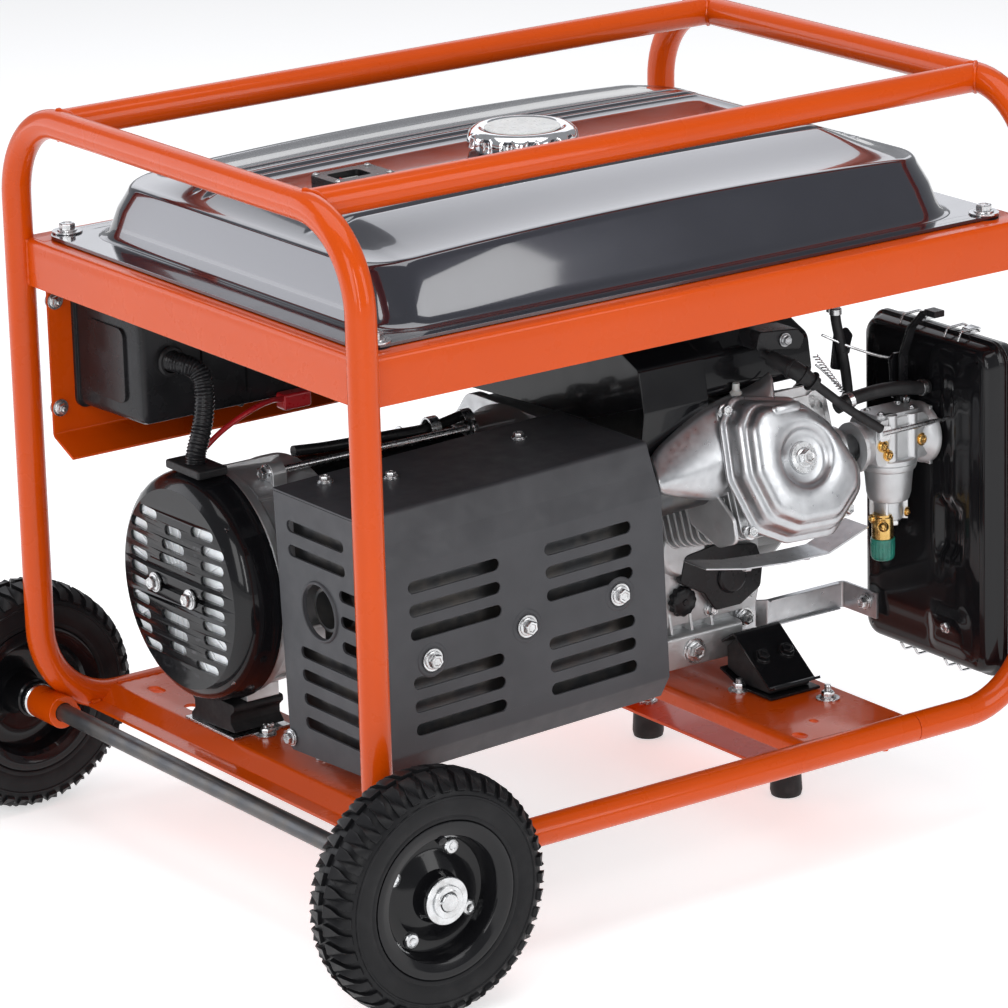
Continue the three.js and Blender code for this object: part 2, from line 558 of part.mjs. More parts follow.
// ---------------------------------------------------------------- carburettor and air filter
function makeIntake() {
  const { y, z } = intake;
  const start = bank.x + finHalf + gap;
  const end = airBox.x[0] - gap;
  const body = join(
    rod('x', 13, start, 226, [y + 12, z - 1], 20),
    rod('x', 20, 220, end, [y, z], 24),
    block([236, 290], [y - 18, y + 18], [200, 242]),
    rod('z', 24, 168, 204, [262, y], 24),
    rod('z', 13, 152, 170, [262, y], 20),
    rod('z', 10, 118, 156, [252, y - 4], 16),
    block([238, 246], [y + 10, -126], [240, 248]),
    rod('z', 4, 244, 252, [242, -130], 12),
  );
  const throat = rod('x', 12, 228, 310, [y, z], 20);
  const port = rod('x', 9, 200, 230, [y + 10, z - 1], 16);
  add('carburettor', cut(body, throat, port), castAluminium());

  const pivot = { x: 287, y: -150, z: 252 };
  const lever = join(
    rod('y', 6, pivot.y - 4, pivot.y + 4, [pivot.x, pivot.z], 14),
    hose([[pivot.x, pivot.y, pivot.z], [286, -151, 290], [285, -164, 320], [285, -190, 336]], 3.5, 10, 8),
  );
  add('choke_lever', lever, blackPlastic());

  const arm = join(
    rod('x', 8, 205.4, 209.4, [-64, 306], 16),
    prismX(outline([[-62, 301], [-62, 311], [-120, 299], [-120, 291]]), 206, 208.4),
  );
  add('governor_arm', arm, zincSteel());
  const run = [[203, -163, 262], [222, -164, 267], [252, -166, 269], [276, -168, 267],
    [289, -168, 264.5], [299, -168, 264]];
  add('breather_hose', hose(run, 6, 14, 8), rubber());
}

function makeAirFilter() {
  const { x, y, z, corner, wall } = airBox;
  const shell = (from, to, inset) => prismX(
    roundedRectangle([y[0] + inset, y[1] - inset], [z[0] + inset, z[1] - inset], corner - inset), from, to);
  const throat = rod('x', 13, x[0] - 1, x[0] + 10, [intake.y, intake.z], 20);
  const base = cut(shell(x[0], x[1], 0), shell(x[0] + wall, x[1] + 1, wall), throat);
  add('air_filter_base', base, blackPlastic());
  const coverStart = x[1] + gap;
  const cover = cut(shell(coverStart, x[2], 0), shell(coverStart - 1, x[2] - wall, wall));
  add('air_filter_cover', cover, blackPlastic());
  add('air_filter_element', shell(x[0] + 14, x[2] - 6, 14), paper());

  // Zinc strap that steadies the filter box from the crankcase.
  const strap = outline([[181, -48.4], [181, -45.4], [203, -45.4], [212, -51], [299.4, -51], [299.4, -100],
    [296.4, -100], [296.4, -54], [211, -54], [202, -48.4]]);
  add('strap_bracket', prismZ(strap, 37, 61), zincSteel());
}

// ---------------------------------------------------------------- electrics
const sockets = [-168, -84];
const socketZ = 318;
const button = { x: -226, z: 290 };
const keyhole = { x: -274, z: 290 };

function makeControls() {
  const outer = block(box.x, box.y, box.z);
  const inner = block([box.x[0] + box.wall, box.x[1] - box.wall], [box.y[0] + box.wall, box.y[1] + 1],
    [box.z[0] + box.wall, box.z[1] - box.wall]);
  add('control_box', cut(outer, inner), blackPlastic());

  const plate = block(panel.x, [panel.back, panel.front], panel.z);
  const meter = rod('y', 21, panel.front - 1, panel.front + 4, [keyhole.x, 344], 28);
  const outlets = sockets.map((x) => rod('y', 28, panel.front - 1, 262, [x, socketZ], 24));
  const pins = sockets.map((x) => rod('y', 20, panel.front + 2, 263, [x, socketZ], 20));
  const buttonHole = rod('y', 7.5, 230, 260, [button.x, button.z], 20);
  add('control_panel', cut(join(plate, meter, ...outlets), ...pins, buttonHole), blackPaint());

  const face = panel.front + gap;
  const key = join(rod('y', 9, face, face + 8, [keyhole.x, keyhole.z], 20),
    block([keyhole.x - 1.5, keyhole.x + 1.5], [face + 6, face + 24], [keyhole.z - 9, keyhole.z + 9]));
  add('ignition_key', key, zincSteel());
  add('breaker_button', rod('y', 7, 236, face + 8, [button.x, button.z], 20), redPlastic());
  sockets.forEach((x, i) => {
    const lid = prismY(roundedRectangle([x - 31, x + 31], [socketZ - 31, socketZ + 36], 10), 262.4, 266.4);
    const barrel = rod('x', 4, x - 20, x + 20, [264.4, socketZ + 36], 12);
    add(`socket_lid_${i + 1}`, join(lid, barrel), blackPlastic());
  });
}

function makeWiring() {
  const grommet = [-272, box.y[0] - 0.8, 327];
  const conduit = [grommet, [-271.5, 126, 327.5], [-262, 108, 322], [-262, 99, 304], [-268, 95, 278],
    [-277, 92, 256], [-277, 92, crank.z + alternator.shell + 1]];
  add('conduit', hose(conduit, 9, 18, 8), rubber());
  const redRun = [[-268, 112, 241.5], [-258, 108, 254], [-240, 105, 268], [-212, 106, 279],
    [-186, 116, 280], [-164, 128, 275]];
  const boot = block([-168, -140], [122, box.y[0] - gap], [266, 280]);
  add('starter_lead', join(hose(redRun, 2.4, 14, 6), boot), redPlastic());
  const leadRun = [[136, -148, 318], [150, -178, 306], [168, -186, 290], [195, -188, 268], [229, -190, 244]];
  const lead = hose(leadRun, 4, 10, 8);
  const cap = hose([[140, -162, 314], [150, -178, 306], [163, -185, 295]], 8, 3, 8);
  add('spark_plug_lead', join(lead, cap), rubber());
}

makeFrame();
makeBase();
makeWheels();
makeTank();
makeFuelLine();
makeAlternator();
makeCrankcase();
makeHead();
makeShroud();
makeRecoil();
makeMounts();
makeOilDipstick();
makeExhaust();
makeIntake();
makeAirFilter();
makeControls();
makeWiring();

export default generator;
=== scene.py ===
"""Looks of the portable generator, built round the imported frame.

Lengths inside the makers are design millimetres: the origin is the middle of the tube frame at the height of
the bottom rails, +X runs to the recoil starter end and -Y is the muffler side. Shape turns them into metres.
"""
import json
import math

import bmesh
import bpy
from mathutils import Matrix, Vector, noise
from mathutils.geometry import tessellate_polygon


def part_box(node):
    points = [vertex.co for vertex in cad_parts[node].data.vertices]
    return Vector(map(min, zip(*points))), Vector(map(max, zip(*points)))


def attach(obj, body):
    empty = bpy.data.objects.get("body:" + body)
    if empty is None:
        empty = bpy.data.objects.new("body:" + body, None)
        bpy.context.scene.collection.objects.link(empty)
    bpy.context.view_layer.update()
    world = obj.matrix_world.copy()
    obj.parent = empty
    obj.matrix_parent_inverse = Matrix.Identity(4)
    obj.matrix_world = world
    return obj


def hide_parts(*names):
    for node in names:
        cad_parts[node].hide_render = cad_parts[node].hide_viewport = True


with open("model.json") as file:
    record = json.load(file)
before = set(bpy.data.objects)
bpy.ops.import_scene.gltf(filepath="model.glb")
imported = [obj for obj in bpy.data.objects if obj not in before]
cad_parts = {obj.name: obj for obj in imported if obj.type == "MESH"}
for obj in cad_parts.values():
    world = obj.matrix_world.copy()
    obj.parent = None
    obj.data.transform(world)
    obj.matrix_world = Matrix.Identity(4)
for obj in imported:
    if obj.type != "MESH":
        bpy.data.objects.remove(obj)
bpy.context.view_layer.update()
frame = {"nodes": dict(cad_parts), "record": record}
SLOTS = {part["node"]: part["material_slot"] for part in frame["record"]["subparts"]}

# ------------------------------------------------------------------ sizes and places
MM = 0.001
MERGE = 0.002  # points nearer than this many millimetres are one
NODE_MERGE = 0.02  # the same for the CAD nodes that still show
_rear, _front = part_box("frame_hoop_rear"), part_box("frame_hoop_front")
_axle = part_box("axle")
ORIGIN = Vector(((_rear[0].x + _front[1].x) / 2, 0.0, (_axle[0].z + _axle[1].z) / 2))
TUBE_R = 12.5
BEND_R = 75


def span(node):
    """Lowest and highest corner of a CAD node in design millimetres."""
    low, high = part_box(node)
    return (low - ORIGIN) / MM, (high - ORIGIN) / MM


def middle(node):
    low, high = span(node)
    return (low + high) / 2


HOOP_X = span("frame_hoop_front")[1].x - TUBE_R
HOOP_Y = span("frame_hoop_front")[1].y - TUBE_R
HOOP_Z = span("frame_hoop_front")[1].z - TUBE_R
JOINT_X = span("frame_hoop_rear")[1].x
GROUND = span("tyre_muffler_side")[0].z
CRANK = middle("rotor")
GUARD_TILT = Matrix.Translation((-129, 0, 150)) @ Matrix.Rotation(math.radians(-2), 4, "Y") \
    @ Matrix.Translation((129, 0, -150))


# ------------------------------------------------------------------ materials
class Look:
    """One procedural material: a Principled shader fed by noise in the object's own coordinates."""

    def __init__(self, name, color, roughness, metallic=0.0):
        self.material = bpy.data.materials.new(name)
        self.material.use_nodes = True
        self.tree = self.material.node_tree
        self.shader = self.tree.nodes["Principled BSDF"]
        self.shader.inputs["Base Color"].default_value = (*color, 1)
        self.shader.inputs["Roughness"].default_value = roughness
        self.shader.inputs["Metallic"].default_value = metallic
        self.where = self.node("ShaderNodeTexCoord").outputs["Object"]
        self.normal = None

    def node(self, kind, **inputs):
        made = self.tree.nodes.new(kind)
        for name, value in inputs.items():
            socket = made.inputs[name.replace("_", " ")]
            if isinstance(value, bpy.types.NodeSocket):
                self.tree.links.new(value, socket)
            else:
                socket.default_value = value
        return made

    def stretched(self, scale):
        return self.node("ShaderNodeMapping", Vector=self.where, Scale=scale).outputs["Vector"]

    def noise(self, size, detail=3.0, stretch=None):
        """Soft noise whose blotches are about size metres across."""
        place = self.stretched(stretch) if stretch else self.where
        return self.node("ShaderNodeTexNoise", Vector=place, Scale=1 / size, Detail=detail).outputs["Fac"]

    def cells(self, size):
        made = self.node("ShaderNodeTexVoronoi", Vector=self.where, Scale=1 / size)
        return made.outputs["Distance"]

    def band(self, value, low, high, to_low=0.0, to_high=1.0):
        made = self.node("ShaderNodeMapRange", Value=value)
        made.inputs["From Min"].default_value = low
        made.inputs["From Max"].default_value = high
        made.inputs["To Min"].default_value = to_low
        made.inputs["To Max"].default_value = to_high
        return made.outputs["Result"]

    def times(self, a, b):
        made = self.node("ShaderNodeMath")
        made.operation = "MULTIPLY"
        for socket, value in zip(made.inputs, (a, b)):
            if isinstance(value, bpy.types.NodeSocket):
                self.tree.links.new(value, socket)
            else:
                socket.default_value = value
        return made.outputs["Value"]

    def mix(self, factor, first, second):
        made = self.node("ShaderNodeMix")
        made.data_type = "RGBA"
        self.tree.links.new(factor, made.inputs[0])
        for socket, value in ((made.inputs[6], first), (made.inputs[7], second)):
            if isinstance(value, bpy.types.NodeSocket):
                self.tree.links.new(value, socket)
            else:
                socket.default_value = (*value, 1)
        return made.outputs[2]

    def mottle(self, size, detail, low, high, first, second):
        """Colour that drifts between two tones in blotches about size metres across."""
        return self.mix(self.band(self.noise(size, detail), low, high), first, second)

    def edges(self, low=0.52, high=0.6):
        """Near 1 on convex edges, where handling wears the finish."""
        return self.band(self.node("ShaderNodeNewGeometry").outputs["Pointiness"], low, high)

    def height(self):
        """Height above the floor in metres."""
        return self.node("ShaderNodeSeparateXYZ", Vector=self.where).outputs["Z"]

    def paint(self, color):
        self.tree.links.new(color, self.shader.inputs["Base Color"])
        return self

    def rough(self, value, low, high):
        self.tree.links.new(self.band(value, 0.3, 0.7, low, high), self.shader.inputs["Roughness"])
        return self

    def bump(self, height, strength, depth):
        made = self.node("ShaderNodeBump", Strength=strength, Distance=depth, Height=height)
        if self.normal:
            self.tree.links.new(self.normal, made.inputs["Normal"])
        self.normal = made.outputs["Normal"]
        self.tree.links.new(self.normal, self.shader.inputs["Normal"])
        return self

    def uniform(self, **values):
        for name, value in values.items():
            self.shader.inputs[name.replace("_", " ")].default_value = value
        return self


def dusty(look, color, dust=(0.30, 0.27, 0.24), reach=0.10, amount=0.25):
    """Mixes thin dust into the lowest part of the object, broken up by noise."""
    low = look.band(look.height(), reach, 0.0)
    patch = look.times(low, look.band(look.noise(0.02, 5), 0.4, 0.75, 0.0, amount))
    return look.mix(patch, color, dust)


def make_orange():
    color = (0.60, 0.068, 0.0008)
    look = Look("orange_paint", color, 0.3)
    cloudy = look.mottle(0.14, 2, 0.3, 0.7, color, (0.565, 0.062, 0.0007))
    look.paint(dusty(look, cloudy, reach=0.03, amount=0.12))
    look.rough(look.noise(0.03, 5), 0.24, 0.34)
    look.bump(look.noise(0.0035, 2), 0.10, 0.0006)
    return look.uniform(Coat_Weight=0.38, Coat_Roughness=0.07, Specular_IOR_Level=0.12)


def make_tank_paint():
    color = (0.013, 0.014, 0.024)
    look = Look("tank_paint", color, 0.16)
    flakes = look.band(look.cells(0.0009), 0.0, 0.5)
    look.paint(look.mix(flakes, (0.026, 0.028, 0.046), color))
    look.rough(look.noise(0.05, 4), 0.13, 0.2)
    look.bump(look.noise(0.006, 2), 0.05, 0.0005)
    return look.uniform(Coat_Weight=1.0, Coat_Roughness=0.04, Coat_IOR=1.8, Metallic=0.35)


def make_black_paint():
    color = (0.006, 0.006, 0.007)
    look = Look("black_paint", color, 0.22)
    worn = look.times(look.edges(0.56, 0.68), look.band(look.noise(0.008, 6), 0.5, 0.65))
    look.paint(look.mix(worn, color, (0.05, 0.05, 0.055)))
    look.rough(look.noise(0.03, 4), 0.17, 0.27)
    look.bump(look.noise(0.004, 2), 0.10, 0.0006)
    return look.uniform(Coat_Weight=0.4, Coat_Roughness=0.06, Specular_IOR_Level=0.12)


def make_guard_paint():
    color = (0.052, 0.053, 0.059)
    look = Look("guard_paint", color, 0.5)
    look.paint(look.mottle(0.05, 5, 0.35, 0.7, color, (0.042, 0.043, 0.048)))
    look.rough(look.noise(0.015, 5), 0.4, 0.55)
    look.bump(look.noise(0.0011, 3), 0.22, 0.0004)
    return look.uniform(Specular_IOR_Level=0.4)


def make_cast_aluminium():
    color = (0.60, 0.61, 0.62)
    look = Look("cast_aluminium", color, 0.42, 0.85)
    tone = look.mottle(0.03, 5, 0.35, 0.7, color, (0.47, 0.48, 0.49))
    worn = look.edges(0.52, 0.62)
    look.paint(look.mix(worn, tone, (0.72, 0.72, 0.72)))
    look.rough(look.noise(0.008, 5), 0.34, 0.52)
    look.bump(look.noise(0.0012, 4), 0.35, 0.0005)
    return look.bump(look.noise(0.012, 2), 0.15, 0.0008)


def make_zinc_steel():
    color = (0.56, 0.57, 0.585)
    look = Look("zinc_steel", color, 0.34, 0.92)
    look.paint(look.mottle(0.012, 5, 0.35, 0.7, color, (0.47, 0.48, 0.495)))
    look.rough(look.noise(0.005, 5), 0.27, 0.40)
    look.bump(look.noise(0.0015, 3), 0.06, 0.0002)
    return look.bump(look.noise(0.03, 1), 0.05, 0.0006)


def make_dark_steel():
    color = (0.085, 0.087, 0.092)
    look = Look("dark_steel", color, 0.35, 0.8)
    look.paint(look.mottle(0.02, 6, 0.4, 0.7, color, (0.13, 0.12, 0.11)))
    look.rough(look.noise(0.01, 4), 0.28, 0.45)
    return look.bump(look.noise(0.002, 3), 0.15, 0.0004)


def make_core_steel():
    color = (0.42, 0.25, 0.15)
    look = Look("core_steel", color, 0.4, 0.8)
    stripes = look.noise(0.0012, 1, stretch=(1, 0.02, 0.02))
    look.paint(look.mix(stripes, color, (0.22, 0.18, 0.16)))
    look.rough(stripes, 0.3, 0.5)
    return look.bump(stripes, 0.4, 0.0004)


def make_tyre_rubber():
    color = (0.007, 0.007, 0.008)
    look = Look("tyre_rubber", color, 0.45)
    scuffed = look.mottle(0.02, 6, 0.5, 0.8, color, (0.013, 0.013, 0.014))
    look.paint(dusty(look, scuffed, (0.06, 0.057, 0.054), 0.02, 0.3))
    look.rough(look.noise(0.006, 5), 0.36, 0.50)
    look.bump(look.noise(0.0012, 4), 0.18, 0.0004)
    return look.uniform(Specular_IOR_Level=0.2)


def make_mount_rubber():
    color = (0.013, 0.013, 0.014)
    look = Look("mount_rubber", color, 0.45)
    look.paint(look.mottle(0.012, 5, 0.45, 0.75, color, (0.028, 0.027, 0.028)))
    look.rough(look.noise(0.005, 4), 0.36, 0.55)
    look.bump(look.noise(0.0015, 3), 0.18, 0.0004)
    return look.uniform(Specular_IOR_Level=0.25)


def make_black_plastic():
    color = (0.011, 0.011, 0.012)
    look = Look("black_plastic", color, 0.25)
    look.paint(look.mottle(0.03, 4, 0.4, 0.7, color, (0.017, 0.017, 0.019)))
    look.rough(look.noise(0.02, 4), 0.2, 0.32)
    look.bump(look.noise(0.0016, 3), 0.10, 0.0004)
    return look.uniform(Specular_IOR_Level=0.25)


def make_plastic(name, color, dark):
    look = Look(name, color, 0.3)
    look.paint(look.mottle(0.008, 5, 0.4, 0.7, color, dark))
    look.rough(look.noise(0.004, 4), 0.24, 0.4)
    look.bump(look.noise(0.001, 3), 0.12, 0.0003)
    return look.uniform(Subsurface_Weight=0.05, Coat_Weight=0.2)


def make_metal(name, color, dark, roughness=(0.1, 0.2)):
    look = Look(name, color, roughness[0], 1.0)
    look.paint(look.mottle(0.01, 5, 0.4, 0.7, color, dark))
    look.rough(look.noise(0.004, 4), *roughness)
    return look.bump(look.noise(0.002, 3), 0.08, 0.0002)


def make_filter_paper():
    color = (0.66, 0.55, 0.33)
    look = Look("filter_paper", color, 0.85)
    pleats = look.noise(0.003, 1, stretch=(0.05, 1, 0.05))
    look.paint(look.mix(pleats, color, (0.48, 0.38, 0.2)))
    look.rough(pleats, 0.75, 0.9)
    return look.bump(pleats, 0.6, 0.002)


LOOKS = {
    "orange_paint": make_orange(),
    "tank_paint": make_tank_paint(),
    "black_paint": make_black_paint(),
    "guard_paint": make_guard_paint(),
    "cast_aluminium": make_cast_aluminium(),
    "zinc_steel": make_zinc_steel(),
    "dark_steel": make_dark_steel(),
    "core_steel": make_core_steel(),
    "tyre_rubber": make_tyre_rubber(),
    "mount_rubber": make_mount_rubber(),
    "black_plastic": make_black_plastic(),
    "red_plastic": make_plastic("red_plastic", (0.50, 0.012, 0.018), (0.36, 0.008, 0.012)),
    "green_plastic": make_plastic("green_plastic", (0.012, 0.19, 0.14), (0.008, 0.12, 0.09)),
    "white_plastic": make_plastic("white_plastic", (0.62, 0.62, 0.60), (0.5, 0.5, 0.48)),
    "chrome": make_metal("chrome", (0.80, 0.81, 0.82), (0.66, 0.67, 0.68), (0.05, 0.14)),
    "brass": make_metal("brass", (0.72, 0.47, 0.17), (0.52, 0.32, 0.10), (0.18, 0.32)),
    "bolt_zinc": make_metal("bolt_zinc", (0.70, 0.71, 0.72), (0.50, 0.50, 0.50), (0.2, 0.34)),
    # Near-white colour for the screen behind the alternator cover, raised to stand in for light where the cover
    # shades it: painted light.
    "painted_light_white": make_plastic("painted_light_white", (0.88, 0.89, 0.90), (0.78, 0.79, 0.8)),
    "filter_paper": make_filter_paper(),
}


# ------------------------------------------------------------------ shape builder
def facing(where, direction, spin=0.0):
    """Placement whose local Z runs along direction from the point where."""
    turn = Vector(direction).to_track_quat("Z", "Y")
    return Matrix.Translation(where) @ turn.to_matrix().to_4x4() @ turned(spin)


def about_x(y, z):
    """Placement for turned pieces on an axis along X: heights are then X positions."""
    return facing((0, y, z), (1, 0, 0))


def about_y(x, z):
    return facing((x, 0, z), (0, 1, 0))


def about_z(x, y):
    return Matrix.Translation((x, y, 0))


def turned(angle):
    """Rotation about local Z."""
    return Matrix.Rotation(angle, 4, "Z")


CRANK_AXIS = about_x(CRANK.y, CRANK.z)
FILLER_AXIS = about_y(118, 80)


def bend(points, radius, steps=8):
    """Open path through corner points with every corner rounded."""
    points = [Vector(p) for p in points]
    path = [points[0]]
    for before, corner, after in zip(points, points[1:], points[2:]):
        a, b = (before - corner).normalized(), (after - corner).normalized()
        half = a.angle(b) / 2
        if half > math.radians(89.5):
            path.append(corner)
            continue
        centre = corner + (a + b).normalized() * (radius / math.sin(half))
        first = (corner + a * (radius / math.tan(half)) - centre).normalized()
        last = (corner + b * (radius / math.tan(half)) - centre).normalized()
        path += [centre + first.slerp(last, i / steps) * radius for i in range(steps + 1)]
    return path + [points[-1]]


def rounded_loop(points, radius, steps=5):
    """Closed outline of 2D points with every corner rounded."""
    corners = [Vector((*p, 0)) for p in points]
    loop = []
    for i, corner in enumerate(corners):
        before, after = corners[i - 1], corners[(i + 1) % len(corners)]
        r = radius[i] if isinstance(radius, (list, tuple)) else radius
        part = bend([before, corner, after], r, steps)[1:-1] if r > 0 else [corner]
        loop += [(p.x, p.y) for p in part]
    return loop


def rectangle(u, v, radius=0.0, steps=5):
    """Rounded rectangle outline over the ranges u and v."""
    corners = [(u[0], v[0]), (u[1], v[0]), (u[1], v[1]), (u[0], v[1])]
    return rounded_loop(corners, radius, steps) if radius else corners


def round_point(radius, angle):
    return radius * math.cos(angle), radius * math.sin(angle)


def circle(radius, steps=24, centre=(0, 0)):
    points = [round_point(radius, 2 * math.pi * i / steps) for i in range(steps)]
    return [(centre[0] + u, centre[1] + v) for u, v in points]


def scaled(outline, centre, scale):
    """Outline shrunk or grown about a centre."""
    return [(centre[0] + (u - centre[0]) * scale, centre[1] + (v - centre[1]) * scale) for u, v in outline]


def wavy_ring(radius, wave, lobes, height, steps):
    """Ring whose radius swells and shrinks lobes times round, for knurled edges."""
    angles = [2 * math.pi * i / steps for i in range(steps)]
    return [(*round_point(radius + wave * math.cos(lobes * angle), angle), height) for angle in angles]


def smooth_path(points, steps=8):
    """Catmull-Rom curve through the points."""
    p = [Vector(q) for q in points]
    p = [p[0] * 2 - p[1], *p, p[-1] * 2 - p[-2]]
    path = []
    for a, b, c, d in zip(p, p[1:], p[2:], p[3:]):
        for i in range(steps):
            t = i / steps
            path.append(0.5 * ((2 * b) + (c - a) * t + (2 * a - 5 * b + 4 * c - d) * t * t
                               + (3 * b - a - 3 * c + d) * t ** 3))
    return path + [p[-2]]


THREAD_PITCH = 1.25
SCREW_TURN = 0.4
AXIS_POINT = {
    "X": lambda u, v, w: (w, u, v),
    "Y": lambda u, v, w: (u, w, v),
    "Z": lambda u, v, w: (u, v, w),
}


class Shape:
    """Collects solids in design millimetres and turns them into one object."""

    def __init__(self):
        self.bm = bmesh.new()
        self.place = Matrix()

    def at(self, place):
        self.place = place
        return self

    def vert(self, point):
        return self.bm.verts.new(self.place @ Vector(point))

    def face(self, verts):
        try:
            return self.bm.faces.new(verts)
        except ValueError:
            return None

    def skin(self, rings, loop=False, caps=True):
        """Quads between matching rings; loop joins the last ring to the first."""
        rows = [[self.vert(p) for p in ring] for ring in rings]
        count = len(rows[0])
        pairs = list(zip(rows, rows[1:])) + ([(rows[-1], rows[0])] if loop else [])
        for a, b in pairs:
            for i in range(count):
                j = (i + 1) % count
                self.face((a[i], a[j], b[j], b[i]))
        if caps and not loop:
            self.face(rows[0])
            self.face(rows[-1])
        return self

    def lathe(self, profile, steps=48):
        """Turns (height, radius) points about local Z. A profile that stays off the axis closes on itself."""
        rings = [[(*round_point(radius, 2 * math.pi * i / steps), height) for i in range(steps)]
                 for height, radius in profile]
        on_axis = profile[0][1] == 0 or profile[-1][1] == 0
        return self.skin(rings, loop=not on_axis, caps=False)

    def rod(self, low, high, radius, steps=48):
        """Plain cylinder about local Z."""
        return self.lathe([(low, 0), (low, radius), (high, radius), (high, 0)], steps)

    def tube(self, low, high, bore, radius, steps=48):
        """Plain hollow cylinder about local Z."""
        return self.lathe([(low, bore), (low, radius), (high, radius), (high, bore)], steps)

    def sweep(self, path, section, up=(0, 0, 1), caps=True, scale=None, loop=False):
        """Carries a closed 2D section along a path, turning it as little as the path allows."""
        path = [Vector(p) for p in path]
        side = None
        rings = []
        for i, point in enumerate(path):
            before, after = path[max(i - 1, 0)], path[min(i + 1, len(path) - 1)]
            if loop:
                before, after = path[i - 1], path[(i + 1) % len(path)]
            tangent = (after - before).normalized()
            if side is None:
                reference = Vector(up)
                if abs(reference.dot(tangent)) > 0.95:
                    reference = Vector((1, 0, 0)) if abs(tangent.x) < 0.9 else Vector((0, 1, 0))
                side = reference.cross(tangent).normalized()
            side = (side - tangent * side.dot(tangent)).normalized()
            lift = tangent.cross(side)
            size = scale(i / (len(path) - 1)) if scale else 1.0
            rings.append([point + side * (u * size) + lift * (v * size) for u, v in section])
        return self.skin(rings, loop=loop, caps=caps)

    def prism(self, outline, low, high, axis="Z"):
        """Solid prism. Z takes (x, y) outlines, Y takes (x, z) and X takes (y, z)."""
        point = AXIS_POINT[axis]
        return self.skin([[point(u, v, w) for u, v in outline] for w in (low, high)])

    def block(self, x, y, z):
        return self.prism(rectangle(x, y), z[0], z[1])

    def plate(self, outline, holes, low, high, axis="Z", wall=None):
        """Prism with holes through it. wall turns (u, v, w) into a point where the plate isn't flat."""
        point = wall or AXIS_POINT[axis]
        loops = [outline, *holes]
        flat = [Vector((u, v, 0)) for loop in loops for u, v in loop]
        triangles = tessellate_polygon([[Vector((u, v, 0)) for u, v in loop] for loop in loops])
        layers = [[self.vert(point(p.x, p.y, w)) for p in flat] for w in (low, high)]
        for layer in layers:
            for triangle in triangles:
                self.face([layer[i] for i in triangle])
        start = 0
        for loop in loops:
            for i in range(len(loop)):
                a, b = start + i, start + (i + 1) % len(loop)
                self.face((layers[0][a], layers[0][b], layers[1][b], layers[1][a]))
            start += len(loop)
        return self

    def hex_bolt(self, where, direction, across=10, height=5.5, washer=0.0, spin=0.3):
        """Flanged hexagon head: washer face, six flats and a chamfered dished top."""
        keep = self.place
        self.place = keep @ facing(where, direction, spin)
        base = 0.0
        if washer:
            self.rod(0, 1.4, washer, 28)
            base = 1.4
        radius = across / 2 / math.cos(math.pi / 6)
        collar = [(0, 0), (0, radius * 1.25), (1.0, radius * 1.22), (1.5, radius), (1.5, 0)]
        self.lathe([(base + step, reach) for step, reach in collar], 28)
        levels = ((1.0, 1.4), (1.0, height - 1.0), (0.88, height), (0.6, height), (0.5, height - 0.7))
        self.skin([[(u * scale, v * scale, base + z) for u, v in circle(radius, 6)] for scale, z in levels])
        self.place = keep
        return self

    def stud_nut(self, where, direction, across=10, height=6, length=6, washer=11.0):
        """Nut on a threaded stud that stands proud of it."""
        keep = self.place
        self.hex_bolt(where, direction, across, height, washer)
        self.place = keep @ facing(where, direction)
        thread = [(height, 0)]
        for i in range(max(2, int(length / THREAD_PITCH))):
            root = height + i * THREAD_PITCH
            thread += [(root, across * 0.27), (root + THREAD_PITCH / 2 - 0.025, across * 0.31)]
        thread += [(height + length, across * 0.24), (height + length, 0)]
        self.lathe(thread, 18)
        self.place = keep
        return self

    def screw(self, where, direction, radius=4.0, washer=0.0):
        """Pan head screw with a cross recess."""
        keep = self.place
        self.place = keep @ facing(where, direction, SCREW_TURN)
        if washer:
            self.rod(0, 1.0, washer, 24)
        base = 1.0 if washer else 0.0
        arm, reach = 0.16 * radius, 0.55 * radius
        cross = []
        for quarter in range(4):
            c, s = math.cos(quarter * math.pi / 2), math.sin(quarter * math.pi / 2)
            cross += [(u * c - v * s, u * s + v * c) for u, v in ((reach, -arm), (reach, arm), (arm, arm))]
        top = base + radius * 0.55
        self.plate(circle(radius * 0.62, 24), [cross], top - 0.4, top)
        floor = top - radius * 0.35
        self.lathe([(base, 0), (base, radius), (base + radius * 0.25, radius), (top, radius * 0.62),
                    (top - 0.4, radius * 0.6), (floor, radius * 0.3), (floor, 0)], 24)
        self.place = keep
        return self

    def show(self, name, look, body="frame", bevel=0.0, segments=2, sharp=32, stands_for=()):
        """Ends the shape: makes the object, gives it its look and lets it ride on its body."""
        bmesh.ops.remove_doubles(self.bm, verts=self.bm.verts, dist=MERGE)
        bmesh.ops.dissolve_degenerate(self.bm, edges=self.bm.edges, dist=MERGE / 2)
        for face in self.bm.faces:
            face.smooth = True
        bmesh.ops.recalc_face_normals(self.bm, faces=self.bm.faces)
        limit = math.radians(sharp)
        for edge in self.bm.edges:
            if len(edge.link_faces) == 2 and edge.calc_face_angle(0) > limit:
                edge.smooth = False
        made = self.to_object(name)
        made.data.materials.append(LOOKS[look].material)
        if bevel:
            edge_bevel(made, bevel, segments, sharp)
        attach(made, body)
        if stands_for:
            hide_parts(*stands_for)
        return made

    def cutter(self):
        """Ends the shape as a mesh that only cuts others."""
        bmesh.ops.remove_doubles(self.bm, verts=self.bm.verts, dist=MERGE)
        bmesh.ops.recalc_face_normals(self.bm, faces=self.bm.faces)
        return self.to_object("cutter")

    def to_object(self, name):
        """Writes the solids, in metres, to a new object in the scene."""
        for vert in self.bm.verts:
            vert.co = ORIGIN + vert.co * MM
        mesh = bpy.data.meshes.new(name)
        self.bm.to_mesh(mesh)
        self.bm.free()
        made = bpy.data.objects.new(name, mesh)
        bpy.context.scene.collection.objects.link(made)
        return made


